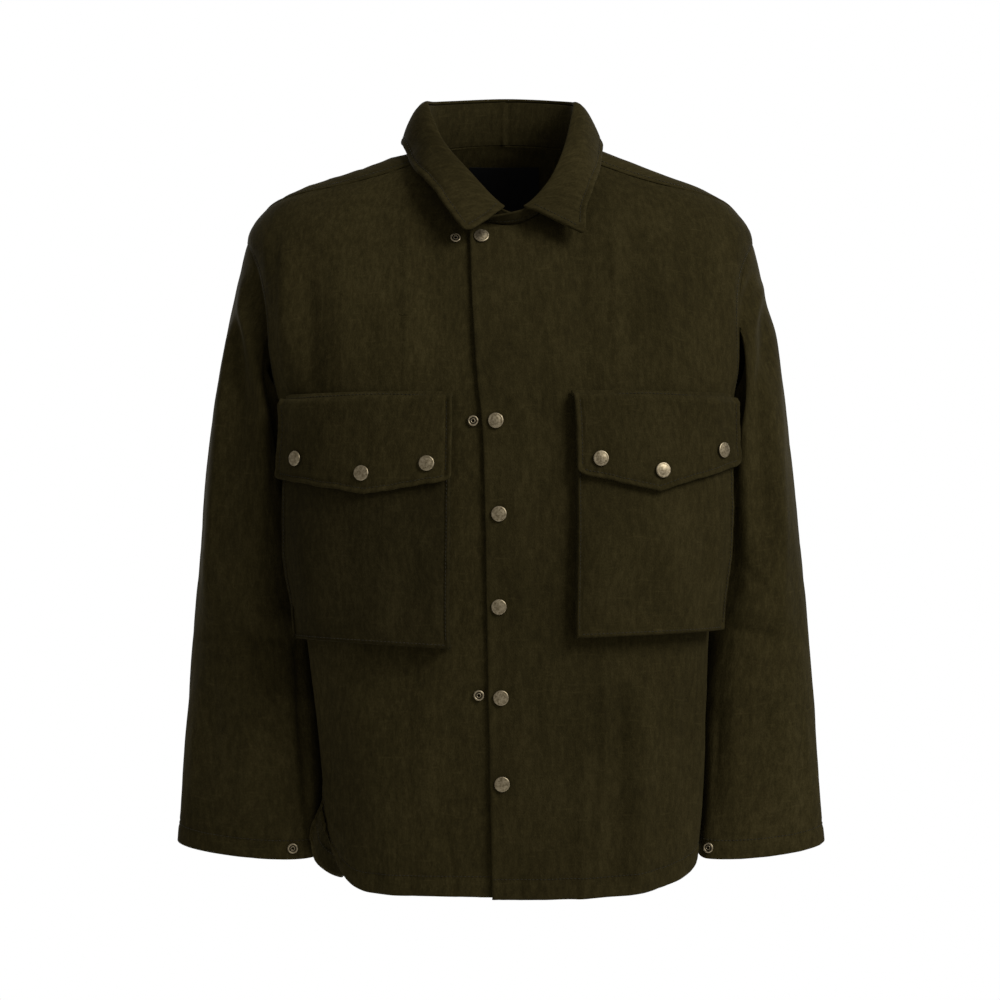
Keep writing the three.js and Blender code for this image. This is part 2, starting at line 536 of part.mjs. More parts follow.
// Across the leaf: 0 at the fold above the band, 1 at its outer edge.
function leafPoint(turn, down) {
  const top = vec(...["topX", "topY", "topZ"].map((name) => read(STAND, "turn", turn, name)));
  const edge = vec(...["edgeX", "edgeY", "edgeZ"].map((name) => read(LEAF, "turn", turn, name)));
  const bow = read(LEAF, "turn", turn, "bow");
  const n = standNormal(turn, 1);
  // square to the band's top edge and to its face
  const rise = standPoint(turn + 1, 1).sub(standPoint(turn - 1, 1)).cross(n).normalize();
  if (rise.z < 0) rise.negate();
  const start = top.clone().addScaledVector(rise, 1.2 + DOUBLE).addScaledVector(n, -BAND);
  const crest = start.clone().addScaledVector(n, BAND + 6 + bow * 0.3).addScaledVector(rise, 0.5);
  const side = start.clone().lerp(edge, 0.42).addScaledVector(n, 4 + bow * 0.6);
  const a = 1 - down;
  return start.multiplyScalar(a * a * a).addScaledVector(crest, 3 * a * a * down)
    .addScaledVector(side, 3 * a * down * down).addScaledVector(edge, down * down * down);
}
function collarLeaf() {
  const outer = [], inner = [];
  const first = LEAF[0].turn, last = LEAF[LEAF.length - 1].turn;
  for (const down of [0, 0.1, 0.22, 0.38, 0.58, 0.8, 1]) {
    const rowOut = [], rowIn = [];
    for (let k = 0; k <= GRID.collar; k += 1) {
      const turn = mix(first, last, k / GRID.collar);
      const p = leafPoint(turn, down);
      rowOut.push(p);
      rowIn.push(p.clone().addScaledVector(normalOf(leafPoint, turn, down, 1, 0.02, -1), -DOUBLE));
    }
    outer.push(rowOut);
    inner.push(rowIn);
  }
  return wall(outer, inner);
}

// ---------------------------------------------------------------- pockets and flaps
const underLap = (turn, level) => lapOut(bodyShape(turn, level).x) * (turn > 0 ? 1 : 0);

// How far a pocket's face stands off the front, across (0 inner edge, 1 outer) and down (0 to 1).
function pocketDepth(pocket, across, down) {
  const depth = mix(pocket.mouth, pocket.foot, smooth(down)) * mix(0.72, 1.05, across);
  return depth;
}
function pocketOut(pocket, across, down, off) {
  const footZ = mix(pocket.innerFootZ, pocket.outerFootZ, across);
  const turn = pocket.side * mix(pocket.inner, pocket.outer, across);
  const level = levelAt(turn, mix(pocket.topZ, footZ, down));
  return bodyOut(turn, level, underLap(turn, level) + off);
}
function pocketSolid(pocket) {
  const outer = [], inner = [];
  // the columns and rows nearest the edge hold the gusset, which leans out a little from its foot
  const lean = 0.028, leanDown = 0.022;
  const columns = [[0, 0], [lean * 0.55, 0.6], [lean, 1]];
  for (let k = 1; k < 8; k += 1) columns.push([mix(lean, 1 - lean, k / 8), 1]);
  columns.push([1 - lean, 1], [1 - lean * 0.55, 0.6], [1, 0]);
  const rows = [];
  for (let k = 0; k < 8; k += 1) rows.push([mix(0, 1 - leanDown, k / 8), 1]);
  rows.push([1 - leanDown, 1], [1 - leanDown * 0.55, 0.6], [1, 0]);
  for (const [down, riseRow] of rows) {
    const rowOut = [], rowIn = [];
    for (const [across, riseColumn] of columns) {
      const rise = Math.min(riseRow, riseColumn);
      const off = 0.8 + rise * pocketDepth(pocket, across, down);
      rowOut.push(pocketOut(pocket, across, down, off + CLOTH));
      // the inner face keeps the wall's thickness on the slanting gusset too
      const acrossIn = mix(across, 0.5, riseColumn < 1 ? 0.026 : 0), downIn = riseRow < 1 ? down - 0.012 : down;
      rowIn.push(pocketOut(pocket, acrossIn, downIn, off));
    }
    outer.push(rowOut);
    inner.push(rowIn);
  }
  return wall(outer, inner);
}

function flapShape(flap, across, down) {
  const pocket = POCKETS.find((p) => p.name === flap.name);
  const turn = flap.side * mix(flap.inner, mix(flap.outerTop, flap.outer, down), across);
  const foot = across < 0.5 ? mix(flap.innerZ, flap.pointZ, across / 0.5) : mix(flap.pointZ, flap.outerZ, (across - 0.5) / 0.5);
  const level = levelAt(turn, mix(flap.topZ, foot, down));
  const z = mix(flap.topZ, foot, down);
  const onPocket = smooth((flap.topZ - z) / 9);
  const depth = pocketDepth(pocket, across, clamp((pocket.topZ - z) / 225, 0, 1));
  const off = underLap(turn, level) + DOUBLE + 0.8 + onPocket * (depth + CLOTH + 1.2) + 1.5 * smooth(down);
  return bodyOut(turn, level, off);
}
const flapNormal = (flap, across, down) => normalOf((a, b) => flapShape(flap, a, b), across, down, 0.01, 0.01, -flap.side);
function flapSolid(flap) {
  const outer = [], inner = [];
  for (const down of [0, 0.045, 0.09, 0.13, 0.3, 0.65, 1]) {
    const rowOut = [], rowIn = [];
    for (let k = 0; k <= 10; k += 1) {
      const p = flapShape(flap, k / 10, down);
      rowOut.push(p);
      rowIn.push(p.clone().addScaledVector(flapNormal(flap, k / 10, down), -DOUBLE));
    }
    outer.push(rowOut);
    inner.push(rowIn);
  }
  return wall(outer, inner);
}

// ---------------------------------------------------------------- the neck label
function neckLabel() {
  const outer = [], inner = [];
  for (let r = 0; r <= 3; r += 1) {
    const rowOut = [], rowIn = [];
    for (let k = 0; k <= 6; k += 1) {
      const x = ring(1.9, "shiftX") + mix(LABEL.width / 2, -LABEL.width / 2, k / 6);
      const z = -LABEL.below - (LABEL.height * r) / 3;
      let turn = 180;
      for (let i = 0; i < 10; i += 1) {
        const p = bodyShape(turn, levelAt(turn, z));
        turn += ((p.x - x) / Math.max(40, p.y)) / DEG;
      }
      const level = levelAt(turn, z);
      rowOut.push(bodyOut(turn, level, -CLOTH - 0.5));
      rowIn.push(bodyOut(turn, level, -CLOTH - 0.5 - LABEL.wall));
    }
    outer.push(rowOut);
    inner.push(rowIn);
  }
  return wall(outer, inner);
}

// ---------------------------------------------------------------- snaps
// A snap's cap: a low dome with a rolled rim, turned about its own axis.
function snapCap() {
  const { radius: r, height: h } = SNAP;
  const profile = [[0, 0], [r * 0.86, 0], [r, h * 0.3], [r * 0.95, h * 0.66], [r * 0.62, h * 0.93], [0, h]];
  const geometry = new THREE.LatheGeometry(profile.map(([a, b]) => new THREE.Vector2(a, b)), SNAP.sides);
  return geometry.rotateX(Math.PI / 2);
}
// The ring of a snap's stud.
function snapRing() {
  const { radius: r, hole, height: h } = STUD;
  const profile = [[hole, 0], [r, 0], [r, h * 0.5], [r * 0.8, h], [r * 0.55, h * 0.8], [hole, 0]];
  const geometry = new THREE.LatheGeometry(profile.map(([a, b]) => new THREE.Vector2(a, b)), STUD.sides);
  return geometry.rotateX(Math.PI / 2);
}

// ---------------------------------------------------------------- the whole garment
const cloth = new THREE.MeshStandardMaterial({ color: COLOURS.cloth, roughness: 0.95, metalness: 0 });
const clothTop = new THREE.MeshStandardMaterial({ color: COLOURS.cloth_top, roughness: 0.95, metalness: 0 });
const satin = new THREE.MeshStandardMaterial({ color: COLOURS.label, roughness: 0.6, metalness: 0 });
const brass = new THREE.MeshStandardMaterial({ color: COLOURS.brass, roughness: 0.45, metalness: 0.9 });

const overshirt = new THREE.Group();
function add(name, geometry, material) {
  const mesh = new THREE.Mesh(geometry, material);
  mesh.name = name;
  overshirt.add(mesh);
  return mesh;
}
// Puts a turned piece on a surface: its own +Z along the normal.
function seat(mesh, point, normal, off) {
  mesh.position.copy(point).addScaledVector(normal, off);
  mesh.quaternion.setFromUnitVectors(vec(0, 0, 1), normal);
}

add("front_left", frontPanel(1), clothTop);
add("front_right", frontPanel(-1), cloth);
add("back", backPanel(), cloth);
add("sleeve_left", sleeve(1), clothTop);
add("sleeve_right", sleeve(-1), cloth);
add("collar_stand", collarStand(), cloth);
add("collar_leaf", collarLeaf(), clothTop);
for (const pocket of POCKETS) add(`pocket_${pocket.name}`, pocketSolid(pocket), cloth);
for (const flap of FLAPS) add(`flap_${flap.name}`, flapSolid(flap), clothTop);
add("neck_label", neckLabel(), satin);

FRONT_SNAPS.forEach((snap, i) => {
  const { turn, level } = onFront(snap.x, snap.z);
  const n = bodyNormal(turn, level);
  seat(add(`snap_front_${i + 1}`, snapCap(), brass), bodyPoint(turn, level), n, LAP + 0.6);
});
FRONT_STUDS.forEach((stud, i) => {
  const { turn, level } = onFront(stud.x, stud.z);
  seat(add(`stud_front_${i + 1}`, snapRing(), brass), bodyPoint(turn, level), bodyNormal(turn, level), 0.6);
});
for (const flap of FLAPS) {
  FLAP_SNAPS.forEach((snap, i) => {
    const p = flapShape(flap, snap.across, snap.down);
    seat(add(`snap_flap_${flap.name}_${i + 1}`, snapCap(), brass), p, flapNormal(flap, snap.across, snap.down), 0.7);
  });
}
for (const [name, side] of [["left", 1], ["right", -1]]) {
  const angle = CUFF_STUDS.angle[name];
  const p = sleevePoint(side, angle, CUFF_STUDS.s);
  seat(add(`stud_cuff_${name}`, snapRing(), brass), p, sleeveNormal(side, angle, CUFF_STUDS.s), 0.6);
}

export default overshirt;
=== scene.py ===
"""The looks of the overshirt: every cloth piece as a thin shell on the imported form, with its folds,
rolled edges, seams and stitches, then snaps, label, light and camera.
Sizes are millimetres until a mesh is made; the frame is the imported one, +Z up, the front faces -Y."""
import math

import bpy
import mathutils
import numpy as np
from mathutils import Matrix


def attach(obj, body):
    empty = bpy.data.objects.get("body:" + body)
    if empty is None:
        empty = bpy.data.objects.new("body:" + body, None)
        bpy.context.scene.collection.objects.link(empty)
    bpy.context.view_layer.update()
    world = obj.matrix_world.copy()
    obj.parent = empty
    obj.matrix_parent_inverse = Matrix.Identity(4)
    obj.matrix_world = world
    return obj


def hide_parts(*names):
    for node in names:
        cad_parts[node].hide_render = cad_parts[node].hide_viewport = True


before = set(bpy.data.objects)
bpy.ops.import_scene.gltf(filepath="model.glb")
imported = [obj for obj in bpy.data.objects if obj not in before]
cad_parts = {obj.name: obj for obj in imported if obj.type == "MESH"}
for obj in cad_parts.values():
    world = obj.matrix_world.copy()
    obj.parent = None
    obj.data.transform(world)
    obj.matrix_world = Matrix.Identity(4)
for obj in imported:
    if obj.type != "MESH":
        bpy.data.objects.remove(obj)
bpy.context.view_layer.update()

MM = 0.001
DEG = math.pi / 180
KEY_POWER, WORLD_LIGHT = 80.0, 0.36

# ---------------------------------------------------------------- the camera
# Level with the middle of the garment, 2.6 m in front of it: 1 mm at Y = 0 is 1 pixel.
EYE = (0.0, -2600.0, -362.0)
cam_data = bpy.data.cameras.new("camera")
cam_data.sensor_width = 36.0
cam_data.lens = 93.6
cam_data.clip_end = 50.0
camera = bpy.data.objects.new("camera", cam_data)
camera.location = [v * MM for v in EYE]
camera.rotation_euler = (math.pi / 2, 0.0, 0.0)
bpy.context.scene.collection.objects.link(camera)
bpy.context.scene.camera = camera

# ---------------------------------------------------------------- the garment's sizes
CLOTH, DOUBLE, BAND, GAP, LAP = 2.0, 3.0, 2.4, 0.3, 3.4
LAP_FROM, LAP_TO, UNDERLAP_X = 40.0, 75.0, 36.0
ARM_Y, ARM_REACH = 12.0, 56.0
HOLE_LOW, HOLE_HIGH, HOLE_FRONT, HOLE_BACK = 1.0, 1.5, 15.5, 17.0
VENT_TOP, VENT_OPEN, VENT_FLARE = 0.215, 1.2, {1: 1.0, -1: 16.0}
HEM_FRONT = {1: (150.0, 51.0), -1: (56.0, 60.0)}
HEM_BACK = {1: (110.0, 70.0), -1: (66.0, 52.0)}
UNDER_SHORTER = 2.0
SIDE_SHIFT, OUT_SHIFT = 5.0, 0.8
HANG_AT, HANG_REACH, HANG_BY = 0.87, 0.09, 6.5
NECK_SEAM = 2.0


def smooth(t):
    t = np.clip(t, 0.0, 1.0)
    return t * t * (3 - 2 * t)


def mix(a, b, t):
    return a + (b - a) * t


def unit(v):
    return v / np.maximum(np.linalg.norm(v, axis=-1, keepdims=True), 1e-9)


class Table:
    """Smooth curves through named columns of rows, which never overshoot a row."""

    def __init__(self, names, rows):
        a = np.array(rows, float)
        self.x = a[:, 0]
        self.columns, self.slopes = {}, {}
        step = np.diff(self.x)
        for i, name in enumerate(names):
            c = a[:, i + 1]
            d = np.diff(c) / step
            m = np.zeros_like(c)
            m[0], m[-1] = d[0], d[-1]
            p = d[:-1] * d[1:]
            total = d[:-1] + d[1:]
            m[1:-1] = np.where(p <= 0, 0.0, 2 * p / np.where(total == 0, 1.0, total))
            self.columns[name], self.slopes[name] = c, m

    def __call__(self, name, at):
        at = np.asarray(at, float)
        x, c, m = self.x, self.columns[name], self.slopes[name]
        i = np.clip(np.searchsorted(x, at, side="right") - 1, 0, len(x) - 2)
        h = x[i + 1] - x[i]
        t = (at - x[i]) / h
        k = np.clip(t, 0, 1)
        k2, k3 = k * k, k * k * k
        v = (2 * k3 - 3 * k2 + 1) * c[i] + (k3 - 2 * k2 + k) * h * m[i]
        v = v + (3 * k2 - 2 * k3) * c[i + 1] + (k3 - k2) * h * m[i + 1]
        return v + np.where(t < 0, t, 0) * h * m[0] + np.where(t > 1, t - 1, 0) * h * m[-1]


BODY = Table(
    ["frontZ", "sideZ", "backZ", "halfWidth", "frontY", "backY", "shiftX", "corner", "hollow", "seamLeft", "seamRight"],
    [
        [0.0, -742, -740, -774, 185, 129, 120, 13, 2.8, 14, 81, 71],
        [0.2, -650, -650, -656, 194.5, 133, 117, 12.5, 2.85, 20, 82, 75],
        [0.4, -560, -560, -561, 199.5, 137, 117, 10, 2.9, 26, 84, 79],
        [0.6, -470, -470, -470, 207, 140, 120, 7, 2.9, 33, 87, 84],
        [0.8, -380, -380, -380, 219, 141, 125, 8, 2.85, 38, 89, 88],
        [1.0, -292, -292, -290, 227, 139, 129, 8, 2.75, 34, 90, 90],
        [1.25, -240, -190, -215, 245, 133, 131, 4, 2.52, 8, 90, 90],
        [1.5, -196, -105, -142, 252, 120, 125, 0, 2.16, 0, 90, 90],
        [1.65, -168, -71, -98, 232, 108, 112, 0, 2.1, 0, 88, 88],
        [1.75, -148, -53, -70, 203, 98, 97, 1, 2.1, 0, 83, 83],
        [1.85, -127, -37.5, -42, 160, 87, 80, 3, 2.08, 0, 78, 78],
        [1.93, -110, -22.5, -20, 119, 77, 65, 5, 2.05, 0, 74, 74],
        [2.0, -96, -10, 0, 86, 68, 52, 6, 2.05, 0, 70, 70],
    ],
)
# the largest folds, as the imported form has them: angle, lean, width, depth, low, high
BODY_FOLDS = [
    (60, 0, 9, 4, 0.95, 1.6), (-60, 0, 9, 4, 0.95, 1.6), (46, 2, 5, 4, -0.3, 0.55), (27, -4, 4, 3, -0.3, 0.6),
    (-44, 3, 5, 4, -0.3, 0.5), (146, 6, 9, 7, -0.3, 1.45), (-146, -6, 9, 7, -0.3, 1.45),
    (168, 3, 6, -4, -0.3, 1.2), (-170, -3, 6, -4, -0.3, 1.2),
]
FRONT_EDGE = Table(["x"], [[0.0, -8], [0.5, -12.5], [0.9, -16], [1.25, -23], [2.0, -31]])
SLEEVE = Table(
    ["outX", "outZ", "inX", "inZ", "foreY", "aftY", "dip", "skew"],
    [
        [0.0, 253, -107, 199, -292, -61, 66, 12, 0],
        [0.08, 264, -150, 200, -320, -63, 76, 10, 0],
        [0.2, 277, -222, 199, -358, -64, 86, 6, 0],
        [0.35, 290, -312, 197, -410, -62, 84, 4, 2],
        [0.5, 300, -398, 196, -465, -59, 74, 3, 5],
        [0.65, 307.3, -486, 189, -528, -57, 58, 3, 9],
        [0.8, 314.2, -574, 185, -594, -54, 38, 4, 14],
        [0.92, 320, -653, 184, -662, -50, 22, 5.5, 18],
        [1.0, 323.8, -703, 185, -711, -46, 14, 6.5, 20],
    ],
)
SLEEVE_FOLDS = {
    1: [(62, 0, 14, 4, 0.02, 0.75), (118, 0, 12, -4, 0.1, 0.6), (285, 20, 16, 5, 0.05, 0.8)],
    -1: [(40, 10, 13, 5, 0.02, 0.7), (84, 8, 12, -4, 0.05, 0.5), (290, 20, 16, 5, 0.05, 0.8)],
}
ELBOW_FOLDS = [(0.56, 0.03, 4, 150, 70), (0.73, 0.025, 3, 120, 80)]
STAND = Table(
    ["topX", "topY", "topZ", "layer"],
    [
        [-24, -28, -81, -94, 3.6], [-10, -10, -82, -88, 3.6], [2, 7, -82, -85, 3.6], [12, 24, -79, -80, 3.6],
        [34, 53, -68, -48, 1.4], [62, 69, -42, -5, 0], [90, 76, -6, 31, 0], [120, 74, 27, 35.5, 0],
        [150, 46, 50, 41, 0], [180, 6, 58, 43.5, 0], [210, -34, 50, 41, 0], [240, -66, 27, 36, 0],
        [270, -74, -4, 32, 0], [300, -60, -42, -8, 0], [326, -31, -66, -46, 0], [351, 3, -76, -80, 0],
        [376, 26, -72, -88, 0],
    ],
)
LEAF = Table(
    ["edgeX", "edgeY", "edgeZ", "bow"],
    [
        [12, 83, -99, -110, 2], [26, 84, -87, -86, 4], [44, 91, -69, -60, 6], [66, 99, -38, -34.5, 8],
        [90, 103, -2, -8.5, 9], [120, 94, 44, -10, 9], [150, 58, 71, -20, 9], [180, 6, 80, -22, 9],
        [210, -48, 71, -20, 9], [240, -86, 44, -10, 9], [270, -99, -2, -6.5, 9], [296, -86, -38, -32.5, 8],
        [318, -66, -68, -58, 6], [337, -49, -87, -86, 4], [351, -33, -100, -110, 2],
    ],
)
POCKETS = {
    "left": dict(side=1, inner=24.8, outer=69.3, topZ=-272, innerFootZ=-492, outerFootZ=-486, mouth=8, foot=17),
    "right": dict(side=-1, inner=21.5, outer=69.5, topZ=-272, innerFootZ=-502, outerFootZ=-492, mouth=8, foot=19),
}
FLAPS = {
    "left": dict(side=1, inner=24.4, outerTop=69.4, outer=70.6, topZ=-258, innerZ=-337, pointZ=-354, outerZ=-327),
    "right": dict(side=-1, inner=20.6, outerTop=68.6, outer=70.6, topZ=-259, innerZ=-344, pointZ=-357, outerZ=-341),
}
FRONT_SNAPS = [(-18, -108), (-4, -287), (-1, -375), (-1, -463), (1, -549), (2, -631)]
FRONT_STUDS = [(-43, -108), (-25.5, -287), (-20, -547)]
FLAP_SNAPS = [(0.165, 0.77), (0.52, 0.8), (0.865, 0.73)]
CUFF_STUD = {1: (143.0, 0.982), -1: (131.0, 0.982)}


# ---------------------------------------------------------------- folds placed one by one
# A fold is a line of (x, y, half width, height) in millimetres as it is seen from the front, x from
# 500 at the middle plane to the wearer's left and y downwards from 138 at the origin, with + for a
# ridge and - for a trough. The second number makes one flank steeper: + the left one going down.
# the standing edges of the fronts along the armholes
ARMHOLE_LINES = [
    ([(272, 250, 14, 0), (275, 290, 18, 4.0), (277, 340, 19, 5.0), (279, 390, 17, 3.4), (281, 430, 12, 0)], 0.0),
    ([(312, 262, 10, 0), (312, 310, 12, -1.2), (314, 380, 12, -1.4), (318, 420, 9, 0)], 0.0),
]
FRONT_LINES = [
    # the right front, above the pocket
    ([(283, 222, 5, 0), (284, 262, 7, 2.4), (286, 330, 8, 3.4), (290, 380, 8, 2.2), (297, 402, 6, 0)], 0.35),
    ([(265, 226, 3, 0), (266, 250, 3.5, 1.6), (268, 285, 4, 0)], 0.0),
    ([(306, 236, 7, 0), (308, 300, 8, -2.0), (311, 378, 8, -1.6), (313, 396, 6, 0)], 0.0),
    ([(338, 240, 9, 0), (339, 280, 10, 1.5), (341, 340, 9, 1.2), (343, 392, 8, 0)], 0.0),
    ([(368, 292, 9, 0), (370, 330, 10, -1.6), (371, 380, 9, -1.2), (372, 394, 6, 0)], 0.0),
    ([(406, 172, 3, 0), (405, 205, 3.2, 1.5), (404.5, 300, 3.4, 1.8), (404, 360, 3.6, 1.5), (404, 394, 3, 0)], 0.5),
    ([(412, 196, 9, 0), (414, 262, 10, 1.4), (415, 340, 9, 1.4), (416, 392, 8, 0)], 0.0),
    ([(431, 236, 8, 0), (432, 300, 10, -1.3), (434, 400, 10, -1.5), (442, 470, 8, 0)], 0.0),
    ([(376, 196, 8, 0), (378, 230, 10, -1.0), (381, 290, 9, 0)], 0.0),
    ([(318, 196, 10, 0), (322, 222, 12, 1.2), (330, 262, 10, 0)], 0.0),
    # the right front, below the pocket
    ([(352, 654, 13, 0), (354, 700, 16, 3.2), (360, 770, 16, 3.2), (366, 840, 13, 1.6), (369, 886, 10, 0)], 0.2),
    ([(324, 646, 8, 0), (325, 700, 9, -2.2), (327, 770, 9, -2.2), (331, 830, 7, 0)], 0.0),
    ([(386, 655, 9, 0), (387, 720, 11, -2.2), (391, 800, 11, -2.0), (397, 880, 8, -0.6)], 0.0),
    ([(424, 650, 10, 0), (423, 720, 12, 1.8), (424, 800, 12, 1.6), (427, 890, 9, 0.5)], 0.0),
    ([(446, 812, 3, 0), (449, 845, 3.4, -1.3), (453, 880, 3.4, -1.5), (455, 894, 3, -1)], 0.0),
    ([(455, 560, 9, 0), (456, 640, 9, -1.3), (453, 740, 10, -1.2), (452, 800, 8, 0)], 0.0),
    ([(329, 820, 2.5, 0), (336, 828, 3, 1.4), (346, 838, 2.5, 0)], 0.0),
    ([(463, 724, 3, 0), (467, 738, 4, 1.2), (473, 752, 3, 0)], 0.0),
    ([(398, 768, 3, 0), (404, 776, 4, -0.9), (412, 781, 3, 0)], 0.0),
    # the left front, above the pocket
    ([(611, 214, 3.2, 0), (613, 258, 3.6, 1.6), (614, 330, 4, 1.8), (615, 389, 3.6, 0)], 0.45),
    ([(630, 232, 9, 0), (632, 300, 10, -1.5), (634, 390, 8, 0)], 0.0),
    ([(586, 250, 10, 0), (583, 320, 11, -1.4), (581, 388, 9, 0)], 0.0),
    ([(661, 228, 11, 0), (664, 300, 12, 1.7), (668, 391, 10, 0)], 0.0),
    ([(697, 222, 8, 0), (700, 300, 9, -2.1), (705, 384, 8, 0)], 0.0),
    ([(736, 232, 6, 0), (733, 300, 8, 2.8), (731, 380, 8, 2.0), (730, 398, 6, 0)], -0.35),
    ([(748, 236, 3, 0), (745, 262, 3.5, 1.5), (742, 290, 4, 0)], 0.0),
    ([(545, 262, 13, 0), (543, 400, 16, -1.2), (541, 600, 15, -1.4), (538, 800, 14, -1.2), (536, 890, 10, 0)], 0.0),
    ([(519, 300, 9, 0), (520, 460, 10, 0.9), (520, 640, 10, 1.0), (516, 880, 9, 0)], 0.0),
    ([(560, 400, 8, 0), (561, 480, 9, 1.1), (563, 600, 9, 1.2), (566, 720, 9, 0)], 0.0),
    # the left front, below the pocket
    ([(608, 640, 4, 0), (606, 680, 5, 2.2), (603, 750, 6, 2.5), (599, 830, 6, 2.2), (596, 893, 5, 1.0)], 0.3),
    ([(583, 642, 9, 0), (580, 720, 11, -2.0), (574, 820, 12, -1.9), (570, 893, 9, -0.5)], 0.0),
    ([(641, 638, 10, 0), (640, 720, 12, 2.4), (637, 820, 11, 2.0), (634, 888, 9, 0.5)], 0.0),
    ([(622, 642, 6, 0), (621, 740, 7, -1.6), (617, 850, 6, 0)], 0.0),
    ([(690, 632, 8, 0), (688, 700, 10, -2.5), (684, 800, 9, -2.2), (680, 866, 7, 0)], 0.0),
    ([(664, 634, 8, 0), (664, 740, 9, -1.2), (660, 860, 8, 0)], 0.0),
    # short puckers at the hem
    ([(520, 872, 3, 0), (521, 884, 3.2, -1.0), (521, 897, 3, -0.7)], 0.0),
    ([(575, 868, 3, 0), (577, 882, 3.2, -1.1), (578, 896, 3, -0.7)], 0.0),
    ([(625, 866, 3, 0), (628, 880, 3.2, -1.1), (629, 892, 3, -0.7)], 0.0),
    ([(655, 858, 3, 0), (657, 874, 3.2, -1.1), (659, 888, 3, -0.7)], 0.0),
    ([(410, 868, 3, 0), (411, 882, 3.2, -1.1), (412, 896, 3, -0.7)], 0.0),
    ([(373, 862, 3, 0), (375, 878, 3.2, -1.1), (377, 890, 3, -0.7)], 0.0),
]
